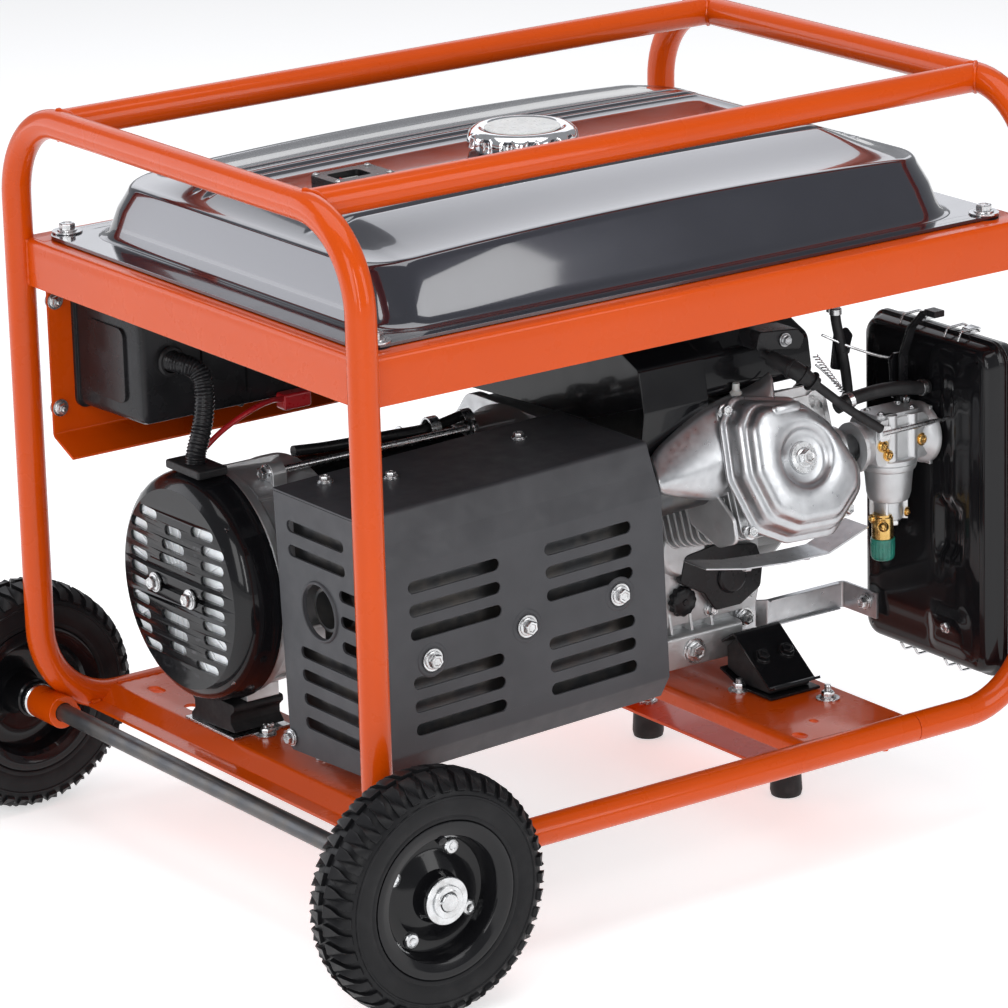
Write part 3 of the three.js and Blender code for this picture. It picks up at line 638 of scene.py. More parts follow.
def edge_bevel(made, width, segments=2, angle=32):
    modifier = made.modifiers.new("edges", "BEVEL")
    modifier.width = width * MM
    modifier.segments = segments
    modifier.limit_method = "ANGLE"
    modifier.angle_limit = math.radians(angle)
    modifier.harden_normals = True


def apply_cut(made, cutter):
    """Subtracts the cutter, keeps the result as the mesh and removes the cutter."""
    modifier = made.modifiers.new("cut", "BOOLEAN")
    modifier.operation = "DIFFERENCE"
    modifier.solver = "EXACT"
    modifier.object = cutter
    bpy.context.view_layer.update()
    result = bpy.data.meshes.new_from_object(made.evaluated_get(bpy.context.evaluated_depsgraph_get()))
    made.modifiers.remove(modifier)
    made.data = result
    bpy.data.objects.remove(cutter)


def unroll(path):
    """Distance along a 2D path at each of its points."""
    distances = [0.0]
    for a, b in zip(path, path[1:]):
        distances.append(distances[-1] + math.dist(a, b))
    return distances


def sheet_faces(path, thickness):
    """Pairs of points half a thickness to either side of a 2D path, with mitred corners."""
    pairs = []
    for i, here in enumerate(path):
        sides = []
        for a, b in zip(path[max(i - 1, 0):i + 1], path[max(i, 1):i + 2]):
            run = Vector((b[0] - a[0], b[1] - a[1])).normalized()
            sides.append(Vector((-run.y, run.x)))
        normal = sum(sides, Vector((0, 0))).normalized()
        offset = normal * (thickness / 2 / max(normal.dot(sides[0]), 0.3))
        pairs.append((Vector(here) + offset, Vector(here) - offset))
    return pairs


def join_layers(shape, layers, pairs):
    """One wall between the two layers of a sheet for each pair of neighbouring points."""
    near, far = layers
    for a, b in pairs:
        shape.face((near[a], near[b], far[b], far[a]))


def add_folded(shape, path, along, thickness, holes=(), point=lambda a, b, w: (w, a, b)):
    """Sheet bent along a 2D path and extruded over the range along.

    A hole is an outline of (position along, distance down the path) within one straight stretch of the path.
    point turns (a, b, position along) into a point of the shape.
    """
    stations = unroll(path)
    faces = sheet_faces(path, thickness)

    def spot(w, s, layer):
        i = max(k for k in range(len(stations) - 1) if stations[k] <= s + 1e-6)
        share = (s - stations[i]) / (stations[i + 1] - stations[i])
        flat = faces[i][layer].lerp(faces[i + 1][layer], min(max(share, 0), 1))
        return point(flat.x, flat.y, w)

    for i, (s0, s1) in enumerate(zip(stations, stations[1:])):
        inside = [hole for hole in holes if all(s0 - 1e-6 <= s <= s1 + 1e-6 for _, s in hole)]
        loops = [[(along[0], s0), (along[1], s0), (along[1], s1), (along[0], s1)], *inside]
        triangles = tessellate_polygon([[Vector((w, s, 0)) for w, s in loop] for loop in loops])
        layers = [[shape.vert(spot(w, s, layer)) for loop in loops for w, s in loop] for layer in (0, 1)]
        for layer in layers:
            for triangle in triangles:
                shape.face([layer[k] for k in triangle])
        start = 4
        for loop in inside:
            count = len(loop)
            join_layers(shape, layers, [(start + k, start + (k + 1) % count) for k in range(count)])
            start += count
        rims = [(3, 0), (1, 2)]
        if i == 0:
            rims.append((0, 1))
        if i == len(stations) - 2:
            rims.append((2, 3))
        join_layers(shape, layers, rims)
    return shape


def flat_bend(points, radius, steps=5):
    """2D version of bend."""
    return [(p.x, p.y) for p in bend([Vector((*p, 0)) for p in points], radius, steps)]


def add_weld(shape, path, radius=2.0):
    """Lumpy weld bead along a path."""
    section = circle(radius, 8)
    count = len(path)
    return shape.sweep(path, section, scale=lambda t: 1 + 0.22 * math.sin(t * count * 1.9)
                       + 0.2 * noise.noise(Vector((t * 9, 0, 0))))


# ------------------------------------------------------------------ frame
SIDES = (("muffler_side", -1), ("panel_side", 1))
TUBE_RING = circle(TUBE_R, 32)


def make_hoops():
    for name, end, rail_end in (("rear", -1, JOINT_X), ("front", 1, JOINT_X + 0.6)):
        x = end * HOOP_X
        corners = [(rail_end, -HOOP_Y, 0), (x, -HOOP_Y, 0), (x, -HOOP_Y, HOOP_Z),
                   (x, HOOP_Y, HOOP_Z), (x, HOOP_Y, 0), (rail_end, HOOP_Y, 0)]
        hoop = Shape().sweep(bend(corners, BEND_R, 16), TUBE_RING)
        hoop.show(f"hoop_{name}", "orange_paint", bevel=0.5, stands_for=[f"frame_hoop_{name}"])
    sleeves = Shape()
    for _, side in SIDES:
        ends = [(JOINT_X + reach, side * HOOP_Y, 0) for reach in (-9, 9)]
        sleeves.sweep(ends, circle(TUBE_R - 1.2, 28))
        pin = facing((JOINT_X - 30, side * (HOOP_Y - 0.5), -TUBE_R + 1.2), (0, 0, -1))
        sleeves.at(pin).lathe([(0, 0), (0, 4), (2.4, 3.4), (3.2, 0)], 20).at(Matrix())
    sleeves.show("rail_joint_sleeves", "orange_paint")


def make_top_bars():
    for name, _ in SIDES:
        y = middle(f"top_rail_{name}").y
        rail = Shape().sweep([(-HOOP_X, y, HOOP_Z), (HOOP_X, y, HOOP_Z)], TUBE_RING)
        rail.show(f"top_bar_{name}", "orange_paint", stands_for=[f"top_rail_{name}"])


def make_frame_welds():
    """Beads round the ends of the top rails and down the corners of the belt."""
    welds = Shape()
    steps = 40
    for _, side in SIDES:
        y = side * abs(middle("top_rail_panel_side").y)
        for end in (-1, 1):
            saddle = []
            for i in range(steps + 1):
                u, v = round_point(TUBE_R, 2 * math.pi * i / steps)
                saddle.append((end * (HOOP_X - abs(u) - 0.3), y + u, HOOP_Z + v))
            add_weld(welds, saddle, 1.7)
    low, high = span("tank_belt")
    for end in (-1, 1):
        for side in (-1, 1):
            at_hoop = (end * (HOOP_X - TUBE_R), side * (high.y - 0.6))
            at_post = (end * (high.x - 0.6), side * (HOOP_Y - TUBE_R))
            for x, y in (at_hoop, at_post):
                add_weld(welds, [(x, y, low.z + 1 + i * 3.0) for i in range(14)], 1.5)
    welds.show("frame_welds", "orange_paint")


def make_belt():
    low, high = span("tank_belt")
    flange, sheet = 32, 3
    corners = [(0, low.z), (0, high.z), (flange, high.z), (flange, high.z - sheet), (sheet, high.z - sheet),
               (sheet, low.z)]
    angle = rounded_loop(corners, [0.7, 4, 0.7, 0.7, 1.2, 0.7], 4)
    shape = Shape()
    for side in (-1, 1):
        shape.prism([(side * (high.y - u), v) for u, v in angle], -HOOP_X + 6, HOOP_X - 6, "X")
        lowered = [(side * (high.x - u), v - 0.25) for u, v in angle]
        shape.prism(lowered, -HOOP_Y + 6, HOOP_Y - 6, "Y")
    shape.show("belt", "orange_paint", stands_for=["tank_belt"])


def make_panel_bracket():
    low, high = span("panel_bracket")
    panel_low, panel_high = span("control_panel")
    face, right_end, sheet = 241.2, 92, 2.5
    path = flat_bend([(face, high.z), (face, 248), (low.y, low.z + 1)], 4)
    window_x = (panel_low.x + 9, panel_high.x - 9)
    window = rectangle(window_x, (high.z - panel_high.z + 8, high.z - panel_low.z - 8), 5)
    shape = add_folded(Shape(), path, (low.x, right_end), sheet, [window])
    shape.show("panel_carrier", "orange_paint", bevel=0.5, stands_for=["panel_bracket"])
    bolts = Shape()
    for x, z in ((-319, 272), (-319, 366), (60, 366), (60, 272), (-6, 366), (-6, 272)):
        bolts.hex_bolt((x, 242.5, z), (0, 1, 0), 8, 4.5, 7.5)
        bolts.stud_nut((x, 239.9, z), (0, -1, 0), 8, 5, 4, 7.5)
    bolts.show("panel_bolts", "bolt_zinc", bevel=0.2)


# ------------------------------------------------------------------ base
def obround(centre, length, width, steps=8):
    """Slot outline with round ends, long way along the first axis."""
    u, v = centre
    half = (length - width) / 2
    loop = []
    for end, start in ((1, -math.pi / 2), (-1, math.pi / 2)):
        arc = [round_point(width / 2, start + math.pi * i / steps) for i in range(steps + 1)]
        loop += [(u + end * half + x, v + y) for x, y in arc]
    return loop


def across_frame(a, b, w):
    """Point of a sheet that lies across the frame: its path runs in X and Z."""
    return (a, w, b)


def down_sheet(path, stretch, x):
    """Distance down a folded sheet to the place x on one of its level stretches."""
    return unroll(path)[stretch] + x - path[stretch][0]


BASE_REACH = HOOP_Y - TUBE_R + 2
BASE_SHEET = 3


def make_alternator_plate():
    """Low lip, ramp and deck, with two rows of slots."""
    path = flat_bend([(-302, -1.5), (-288, -1.5), (-275, 10.5), (-201.5, 10.5), (-201.5, -6)], 3.5, 4)
    holes = []
    for y in (-200, -120, 150, 210):
        for x, shift in ((-255, 0), (-222, 22)):
            deck = next(i for i in range(len(path) - 1) if path[i][0] <= x <= path[i + 1][0])
            holes.append(obround((y + shift, down_sheet(path, deck, x)), 20, 11))
    plate = add_folded(Shape(), path, (-BASE_REACH, BASE_REACH), BASE_SHEET, holes, point=across_frame)
    plate.show("alternator_plate", "orange_paint", bevel=0.5, stands_for=["crossmember_alternator"])


def make_engine_plate():
    path = flat_bend([(106.5, -12), (106.5, 0), (220.5, 0), (220.5, -12)], 3.5, 5)
    deck = next(i for i in range(len(path) - 1) if path[i + 1][0] - path[i][0] > 50)
    holes = [obround((side * y, down_sheet(path, deck, x)), size, size * 0.7) for side in (-1, 1)
             for x, y, size in ((190, 118, 17), (118, 216, 16), (150, 195, 9))]
    plate = add_folded(Shape(), path, (-BASE_REACH, BASE_REACH), BASE_SHEET, holes, point=across_frame)
    plate.show("engine_plate", "orange_paint", bevel=0.5, stands_for=["crossmember_engine"])


def make_foot_bracket():
    low, high = span("foot_bracket")
    top, bottom, leg = high.z - 1.5, low.z + 1.5, 129.5
    corners = [(low.y, top), (-leg, top), (-leg, bottom), (leg, bottom), (leg, top), (high.y, top)]
    path = flat_bend(corners, 5, 6)
    bracket = add_folded(Shape(), path, (low.x, high.x), BASE_SHEET)
    bracket.show("dropped_bracket", "orange_paint", bevel=0.6, stands_for=["foot_bracket"])


def make_base_fixings():
    """Welds and bolts of the three base plates."""
    welds = Shape()
    for _, side in SIDES:
        for x0, x1, z in ((-300, -292, 0.5), (-272, -206, 11.5), (108, 126, 1.5), (200, 219, 1.5)):
            count = max(3, int((x1 - x0) / 3))
            y = side * (HOOP_Y - TUBE_R - 0.4 + abs(z) * 0.15)
            add_weld(welds, [(x0 + (x1 - x0) * i / count, y, z) for i in range(count + 1)], 2)
    welds.show("base_welds", "orange_paint")

    bolts = Shape()
    shelf = span("foot_bracket")[0].z + BASE_SHEET
    for _, side in SIDES:
        bolts.stud_nut((195, side * 158, 1.5), (0, 0, 1), 10, 6, 7, 10.5)
        bolts.hex_bolt((195, side * 158, -4.8), (0, 0, -1), 10, 5.5, 10)
        bolts.stud_nut((194, side * 100, shelf), (0, 0, 1), 10, 5, 4, 9)
        bolts.stud_nut((150, side * 92, 1.5), (0, 0, 1), 10, 6, 5, 10)
    for y in (-30, 60):
        bolts.hex_bolt((-238, y, 12), (0, 0, 1), 10, 5.5, 10)
    bolts.show("base_bolts", "bolt_zinc", bevel=0.2)


def make_feet():
    for name, side in SIDES:
        low, high = span(f"rubber_foot_{name}")
        foot = Shape().at(about_z((low.x + high.x) / 2, side * 100))
        profile = [(GROUND, 0), (GROUND, 12), (GROUND + 0.8, 13.3), (GROUND + 5, 14.3), (GROUND + 8, 14.2),
                   (high.z - 1.2, 13), (high.z, 12), (high.z, 0)]
        foot.lathe(profile, 40).show(f"foot_{name}", "mount_rubber", stands_for=[f"rubber_foot_{name}"])


# ------------------------------------------------------------------ wheels
TYRE = {"crown": 98.3, "waist": 77, "half": 26.4, "lugs": 40, "lug": 3.6}
AXLE = middle("axle")
WHEEL_Y = 311
WHEEL_BOLTS = {"circle": 40.5, "count": 4, "first": 60}


def tyre_skin(phi, turn, lift=0.0):
    """Point on the tyre's skin: phi runs from the crown to the sidewall, turn round the wheel."""
    s, c = math.sin(phi), math.cos(phi)
    across = math.copysign(abs(s) ** 0.78, s) * (TYRE["half"] + lift * 0.7)
    drop = TYRE["crown"] - TYRE["waist"]
    radius = TYRE["waist"] + drop * max(c, 0) ** 0.62 + lift * max(c, 0) ** 0.5
    return (radius * math.cos(turn), radius * math.sin(turn), across)


def tyre_shape(place):
    """Carcass with a ring on each sidewall, and staggered lugs that wrap over both shoulders."""
    shape = Shape().at(place)
    bead = [(-20.5, 53.5), (-21.5, 63.5), (-25.2, 66), (-25.6, 68), (-25.0, 69.5), (-26.0, 72)]
    steps = 28
    skin = []
    for i in range(steps + 1):
        x, _, across = tyre_skin(math.radians(-90 + 180 * i / steps), 0.0)
        skin.append((across, x))
    shape.lathe(bead + skin + [(-a, r) for a, r in reversed(bead)], 128)
    for side in (-1, 1):
        ring = [(25.9, 83.5), (27.0, 84.2), (26.8, 85.4), (25.0, 86.2), (24.5, 84.5)]
        shape.lathe([(side * a, r) for a, r in ring], 96)
    pitch = 2 * math.pi / TYRE["lugs"]
    # A lug's outline: degrees down from the crown, and place round the wheel in pitches.
    outline = [(3, -0.44), (22, -0.36), (38, -0.16), (52, -0.06), (68, 0.0), (68, 0.56), (52, 0.58), (38, 0.50),
               (22, 0.30), (3, 0.22)]
    for side in (-1, 1):
        for k in range(TYRE["lugs"]):
            start = (k + (0.5 if side > 0 else 0)) * pitch

            def wall(u, v, w, start=start, side=side):
                return tyre_skin(side * math.radians(u), start + v * pitch, w)

            shape.plate(outline, [], -1.5, TYRE["lug"], wall=wall)
    return shape


def make_wheels():
    for name, side in SIDES:
        place = facing((AXLE.x, side * WHEEL_Y, AXLE.z), (0, side, 0))
        make_wheel(name, place, f"wheel_{name}")
        make_axle_end(name, place)


def make_wheel(name, place, body):
    tyre_shape(place).show(f"tread_{name}", "tyre_rubber", body, bevel=0.45, sharp=38,
                           stands_for=[f"tyre_{name}"])
    disc = [(23, 8.3), (23, 17.5), (22, 19), (14, 20), (11, 22), (7, 32), (5, 34.5), (4, 37), (4, 44),
            (5, 47.5), (8, 49)]
    lip = [(19, 50), (22.5, 52.5), (24.5, 58), (25.6, 62.5), (25.0, 64.6), (23.4, 64.8), (22.5, 62), (20, 53.6)]
    inner = [(-a, r) for a, r in reversed(lip)]
    back = [(-2, 49), (0.5, 47), (0.5, 36), (3, 31), (6, 21), (2, 17.5), (-22, 17), (-23, 15.5), (-23, 8.3)]
    rim = Shape().at(place).lathe(disc + lip + inner + back, 72)
    stem = place @ facing((0, 55, 4), (0, -0.35, 1))
    rim.at(stem).lathe([(-4, 0), (-4, 4), (6, 4), (7, 3.2), (14, 3), (14, 4.0), (20, 3.8), (21, 0)], 18)
    rim.show(f"wheel_disc_{name}", "black_paint", body, stands_for=[f"rim_{name}"])
    bolts = Shape().at(place)
    for k in range(WHEEL_BOLTS["count"]):
        turn = math.radians(WHEEL_BOLTS["first"] + 360 / WHEEL_BOLTS["count"] * k)
        bolts.at(place @ about_z(*round_point(WHEEL_BOLTS["circle"], turn)))
        bolts.lathe([(3.8, 0), (3.8, 6.8), (5.4, 6.8), (6.6, 5.6), (7.0, 3.4), (6.6, 2.6), (6.6, 0)], 28)
    bolts.at(place).tube(23, 24.2, 8.5, 12.2, 30)
    bolts.show(f"wheel_bolts_{name}", "bolt_zinc", body, bevel=0.25)


def make_axle_end(name, place):
    """Washers, nut face and split pin on the end of the axle."""
    hub = Shape().at(place)
    hub.lathe([(24.6, 8.2), (24.6, 19), (25.2, 19.6), (26.4, 19.6), (27, 19), (27, 8.2)], 44)
    hub.lathe([(27.2, 8.2), (27.2, 13.5), (29, 13.5), (29.4, 13), (29.4, 8.2)], 36)
    hub.lathe([(20, 0), (20, 7.6), (30.8, 7.6), (31.6, 6.8), (31.6, 0)], 30)
    for turn in (0.5, 2.2):
        steps = [i * 0.22 for i in range(8)]
        pin = [(*round_point(9.5, turn + a), 28.2 + 0.5 * math.sin(3 * a)) for a in steps]
        hub.sweep(pin, circle(1.3, 8))
    hub.sweep([(-10, 1, 28.4), (10, -1, 28.4)], circle(1.4, 10))
    hub.show(f"axle_end_{name}", "bolt_zinc", bevel=0.2)


def make_axle():
    shaft = Shape().at(about_y(AXLE.x, AXLE.z))
    shaft.rod(-331, 331, 7.9, 32)
    shaft.show("axle_bar", "dark_steel", stands_for=["axle"])
    sleeves = Shape().at(about_y(AXLE.x, AXLE.z))
    for _, side in SIDES:
        first, last = sorted((side * 240, side * 279))
        sleeves.lathe([(first, 8.5), (first, 14), (first + 0.6, 14.5), (last - 0.6, 14.5), (last, 14),
                       (last, 8.5)], 32)
    sleeves.at(Matrix())
    for _, side in SIDES:
        for offset in (-13.5, 13.5):
            path = [(AXLE.x + 6 + 12 * math.sin(t * 0.3), side * HOOP_Y + offset * math.cos((t - 3) * 0.12),
                     AXLE.z + 9 - t * 3) for t in range(7)]
            add_weld(sleeves, path, 2)
    sleeves.show("axle_sleeves", "orange_paint", stands_for=[f"axle_sleeve_{name}" for name, _ in SIDES])
    spacers = Shape().at(about_y(AXLE.x, AXLE.z))
    for side in (-1, 1):
        spacers.lathe([(side * 279.6, 8.5), (side * 279.6, 13), (side * 281, 15), (side * 284.5, 15),
                       (side * 286, 12.5), (side * 286, 8.5)], 30)
    spacers.show("axle_spacers", "bolt_zinc")


# ------------------------------------------------------------------ fuel system
TANK = {"crease": (283, 192), "corner": 42, "edge": 473, "crown": 489}
TANK_BOLT = (309, 230)
CORNERS = [(x, y) for x in (-1, 1) for y in (-1, 1)]


def smoothstep(value):
    t = min(max(value, 0.0), 1.0)
    return t * t * (3 - 2 * t)


def tank_top(x, y):
    """Height of the pressed top: a low crown with four long grooves and a shallow tray between them."""
    reach_x, reach_y = TANK["crease"]
    along = 1 - (x / reach_x) ** 2
    edge = TANK["edge"] + 8 * along
    crown = TANK["crown"] + 3.5 * along
    side = smoothstep((reach_y - abs(y)) / 110)
    end = smoothstep((reach_x - abs(x)) / 52)
    z = TANK["edge"] + (edge - TANK["edge"]) * min(1, end * 1.6) + (crown - edge) * side * end
    run = smoothstep((x + 268) / 14) * smoothstep((282 - x) / 14)
    for centre, depth, width in ((76, 2.6, 3.0), (97, 2.2, 2.6)):
        z -= depth * run * math.exp(-((abs(y) - centre) / width) ** 2)
    tray = smoothstep((66 - abs(y)) / 6) * smoothstep((x + 232) / 8) * smoothstep((236 - x) / 8)
    return z - 2.4 * tray


def rim_point(a, b, reach, radius):
    """Maps the square [-1, 1] x [-1, 1] onto a rounded rectangle."""
    straight = 0.8  # share of the square that stays in front of the corner arcs
    place = []
    corner = []
    for value, size in zip((a, b), reach):
        place.append((size - radius) * min(abs(value) / straight, 1.0))
        corner.append(max(abs(value) - straight, 0.0) / (1 - straight))
    p, q = corner
    place[0] += radius * p * math.sqrt(1 - q * q / 2)
    place[1] += radius * q * math.sqrt(1 - p * p / 2)
    return math.copysign(place[0], a), math.copysign(place[1], b)


def tank_lines(reach, radius, fine):
    """Grid lines from -1 to 1, close together over the fine ranges of millimetres."""
    straight = reach - radius
    half = [i * 0.2 / 10 + 0.8 for i in range(1, 11)]
    place = 0.0
    inner = []
    while place < straight:
        inner.append(0.8 * place / straight)
        place += 1.5 if any(low < place < high for low, high in fine) else 7.0
    positive = inner[1:] + [0.8] + half
    return [-v for v in reversed(positive)] + [0.0] + positive


def make_tank_shell():
    """Pressed top on a grid that is fine along its grooves, then rings down the side to the foot."""
    xs = tank_lines(TANK["crease"][0], TANK["corner"], [(225, 282)])
    ys = tank_lines(TANK["crease"][1], TANK["corner"], [(57, 105)])
    shape = Shape()
    grid = {}
    for a in xs:
        for b in ys:
            x, y = rim_point(a, b, TANK["crease"], TANK["corner"])
            grid[a, b] = shape.vert((x, y, tank_top(x, y)))
    for a, a2 in zip(xs, xs[1:]):
        for b, b2 in zip(ys, ys[1:]):
            shape.face((grid[a, b], grid[a2, b], grid[a2, b2], grid[a, b2]))
    rim = [(a, ys[0]) for a in xs] + [(xs[-1], b) for b in ys[1:]]
    rim += [(a, ys[-1]) for a in reversed(xs[:-1])] + [(xs[0], b) for b in reversed(ys[1:-1])]
    # Reach, corner radius and height of each ring; the last column says whether it follows the crown.
    levels = [((284.6, 193.6), 43, -0.6, 1), ((286.0, 195.5), 43, -2.6, 1), ((287.0, 197.5), 44, -6, 1),
              ((291.5, 208), 45, 452, 0), ((294.6, 215), 46, 436, 0), ((295.8, 217.4), 46, 431, 0),
              ((297.5, 220), 47, 427.6, 0), ((300.5, 223), 48, 426.3, 0), ((304, 227), 50, 426, 0)]
    before = [grid[key] for key in rim]
    for reach, radius, z, follows in levels:
        ring = []
        for key in rim:
            x, y = rim_point(*key, reach, radius)
            x0, y0 = rim_point(*key, TANK["crease"], TANK["corner"])
            ring.append(shape.vert((x, y, tank_top(x0, y0) + z if follows else z)))
        for i in range(len(ring)):
            j = (i + 1) % len(ring)
            shape.face((before[i], before[j], ring[j], ring[i]))
        before = ring
    body = shape.show("tank_shell", "tank_paint", sharp=50)
    solid = body.modifiers.new("sheet", "SOLIDIFY")
    solid.thickness = 1.5 * MM
    solid.offset = -1


def make_tank_base():
    """Flange that rests on the belt, and the pan under it."""
    low, high = span("fuel_tank")
    holes = [circle(4.5, 20, (x * TANK_BOLT[0], y * TANK_BOLT[1])) for x, y in CORNERS]
    window = rectangle((-302, 302), (-225, 225), 48, 10)
    outline = rectangle((low.x, high.x), (low.y, high.y), 18, 8)
    flange = Shape().plate(outline, [window, *holes], 423.2, 426.2)
    flange.show("tank_flange", "tank_paint", bevel=0.8, stands_for=["fuel_tank"])
    rings = []
    for inset, z in ((-6, 424), (-4, 420), (4, 402), (16, 392), (34, 389)):
        outline = rectangle((-296 + inset, 296 - inset), (-216 + inset, 216 - inset), 46, 8)
        rings.append([(x, y, z) for x, y in outline])
    Shape().skin(rings).show("tank_bottom", "tank_paint", sharp=60)


def make_tank_fixings():
    bolts, cushions = Shape(), Shape()
    washer = [(418.9, 5), (418.9, 12), (419.3, 12.4), (422.6, 12.4), (423, 12), (423, 5)]
    for x, y in CORNERS:
        where = (x * TANK_BOLT[0], y * TANK_BOLT[1])
        bolts.hex_bolt((*where, 426.4), (0, 0, 1), 12, 6.5, 13, spin=x * 0.6 + y)
        bolts.stud_nut((*where, 418.8), (0, 0, -1), 12, 6, 8, 12)
        cushions.at(about_z(*where)).lathe(washer, 28)
    bolts.show("tank_bolts", "bolt_zinc", bevel=0.25)
    cushions.show("tank_cushions", "mount_rubber")


def make_gauge():
    """Float gauge on the tank top: a bezel with a small window and its needle."""
    x, y, z = -168, 5, tank_top(-168, 5)
    bezel = Shape()
    low, high = z - 1, z + 6
    outline = rectangle((x - 30, x + 30), (y - 21, y + 21), 6, 5)
    window = rectangle((x - 20, x + 12), (y - 11, y + 11), 4, 5)
    bezel.plate(outline, [window], low, high)
    bezel.plate(rectangle((x - 22, x + 14), (y - 13, y + 13)), [], low, low + 1.5)
    bezel.show("gauge_bezel", "black_plastic", bevel=1.2, segments=3)
    parts = Shape()
    parts.block((x - 17, x + 9), (y - 8, y + 8), (low + 1.5, low + 2.2))
    for i in range(5):
        mark = x - 15 + i * 5.4
        parts.block((mark, mark + 0.8), (y - 7, y - (2 if i % 2 else 0)), (low + 2.2, low + 2.6))
    parts.show("gauge_scale", "white_plastic")
    needle = Shape()
    needle.prism([(x - 12, y - 1), (x - 9, y + 7), (x - 8, y + 7), (x - 9, y - 1)], low + 2.8, low + 3.4)
    boss = [(low + 2.4, 0), (low + 2.4, 3), (low + 4, 2.6), (low + 4.2, 0)]
    needle.at(about_z(x - 10.5, y - 2)).lathe(boss, 20)
    needle.show("gauge_needle", "red_plastic")
    screws = Shape()
    for side_x, side_y in CORNERS:
        screws.screw((x + side_x * 25.5, y + side_y * 16.5, high), (0, 0, 1), 2.8)
    screws.show("gauge_screws", "bolt_zinc")


def make_filler():
    foot = span("fuel_cap")[0].z
    neck = Shape()
    neck.lathe([(470, 30.5), (470, 40), (484, 40), (487, 38.2), (496, 37.8), (497.6, 36.6), (497.6, 32),
                (496, 30.5)], 64)
    neck.show("filler_neck", "tank_paint")
    lobes, steps = 14, 168
    # Height above the foot, radius, and depth of the hollows between the lobes.
    skirt = [(0.4, 44.6, 0.3), (0.6, 46.4, 0.8), (2.2, 47.0, 1.8), (8.5, 47.0, 1.9), (10.6, 46.2, 1.4),
             (12, 45.2, 0), (14.4, 42.8, 0), (15.8, 39.6, 0), (16.0, 36.0, 0), (14.8, 34.6, 0), (14.2, 33.0, 0),
             (14.4, 24.0, 0), (15.0, 22.6, 0), (15.0, 21.0, 0), (14.5, 19.6, 0), (14.8, 0.4, 0)]
    rings = []
    for height, radius, depth in skirt:
        ring = []
        for i in range(steps):
            turn = 2 * math.pi * i / steps
            hollow = 2 * abs(math.sin(lobes * turn / 2)) ** 5 * depth
            ring.append((*round_point(radius - hollow, turn), foot + height))
        rings.append(ring)
    cap = Shape().skin(rings)
    cap.show("filler_cap", "chrome", "fuel_cap", stands_for=["fuel_cap"], sharp=48)
    plain = [(14.6, 0), (14.6, 32), (15.4, 32), (15.9, 31.2), (15.9, 0)]
    disc = Shape().lathe([(foot + height, radius) for height, radius in plain], 72)
    disc.show("filler_cap_disc", "white_plastic", "fuel_cap")


def make_fuel_tap():
    x, y, z = middle("fuel_cock").x, -130, 355
    body = Shape().at(about_z(x, y))
    neck = [(8, 0), (8, 8), (10, 9), (16, 9), (18, 7), (28.5, 7), (28.5, 0)]
    bowl = [(-10, 0), (-10, 7.5), (-8, 8.5), (-4, 9), (0, 9.4), (8, 9.4), (9, 8), (9, 0)]
    barb = [(-18, 0), (-18, 3.8), (-17, 4.6), (-15.6, 3.6), (-14, 4.6), (-12.6, 3.6), (-9, 3.6), (-9, 0)]
    for profile, steps in ((neck, 32), (bowl, 32), (barb, 24)):
        body.lathe([(z + height, radius) for height, radius in profile], steps)
    body.at(about_y(x, z)).lathe([(-138.8, 0), (-138.8, 8.6), (-136, 9), (-128, 9), (-128, 0)], 28)
    body.at(Matrix()).hex_bolt((x, y, z + 9.4), (0, 0, 1), 15, 7, 0)
    body.show("fuel_tap", "cast_aluminium", stands_for=["fuel_cock"])
    lever = Shape().at(about_y(x, z))
    lever.lathe([(-144.2, 0), (-144.2, 7.2), (-143.6, 8), (-139.6, 8), (-139.4, 7.6), (-139.4, 0)], 28)
    grip = [(x + 4, z - 3.4), (x + 30, z - 2.6), (x + 30, z + 2.6), (x + 4, z + 3.4)]
    lever.at(Matrix()).prism(rounded_loop(grip, [0, 2.4, 2.4, 0]), -143.6, -140.2, "Y")
    lever.block((x + 8, x + 26), (-144.4, -143.4), (z - 0.8, z + 0.8))
    lever.show("fuel_tap_lever", "red_plastic", "fuel_cock_lever", bevel=0.6, stands_for=["fuel_cock_lever"])


# ------------------------------------------------------------------ muffler and guard
GUARD = {"left": -275, "right": 17, "face": -164, "slot": 10.2}
GUARD_BOLTS = ((-221, 133), (-126, 138), (-31, 142))
TAIL = (-86, 167)


def make_guard_front():
    """Folded sheet with two groups of slots in its upright stretch."""
    face = GUARD["face"]
    corners = [(-26, 259), (-146.5, 259), (-155.2, 235.6), (face, 216.8), (face, 57.4), (-150.5, 36.6)]
    path = flat_bend(corners, 4, 4)
    stations = unroll(path)
    upright = [i for i in range(len(path) - 1) if abs(path[i][0] - face) < 1]
    wall = max(upright, key=lambda i: stations[i + 1] - stations[i])
    slots = []
    for x0, x1 in ((-240, -150), (-104, -16)):
        for z in (198, 178, 158, 116, 96, 76):
            down = stations[wall] + path[wall][1] - z
            slots.append(obround(((x0 + x1) / 2, down), x1 - x0, GUARD["slot"], 10))
    front = add_folded(Shape().at(GUARD_TILT), path, (GUARD["left"], GUARD["right"]), 2, slots)
    front.show("guard_front", "guard_paint", bevel=0.7, segments=3, stands_for=["muffler_guard"])


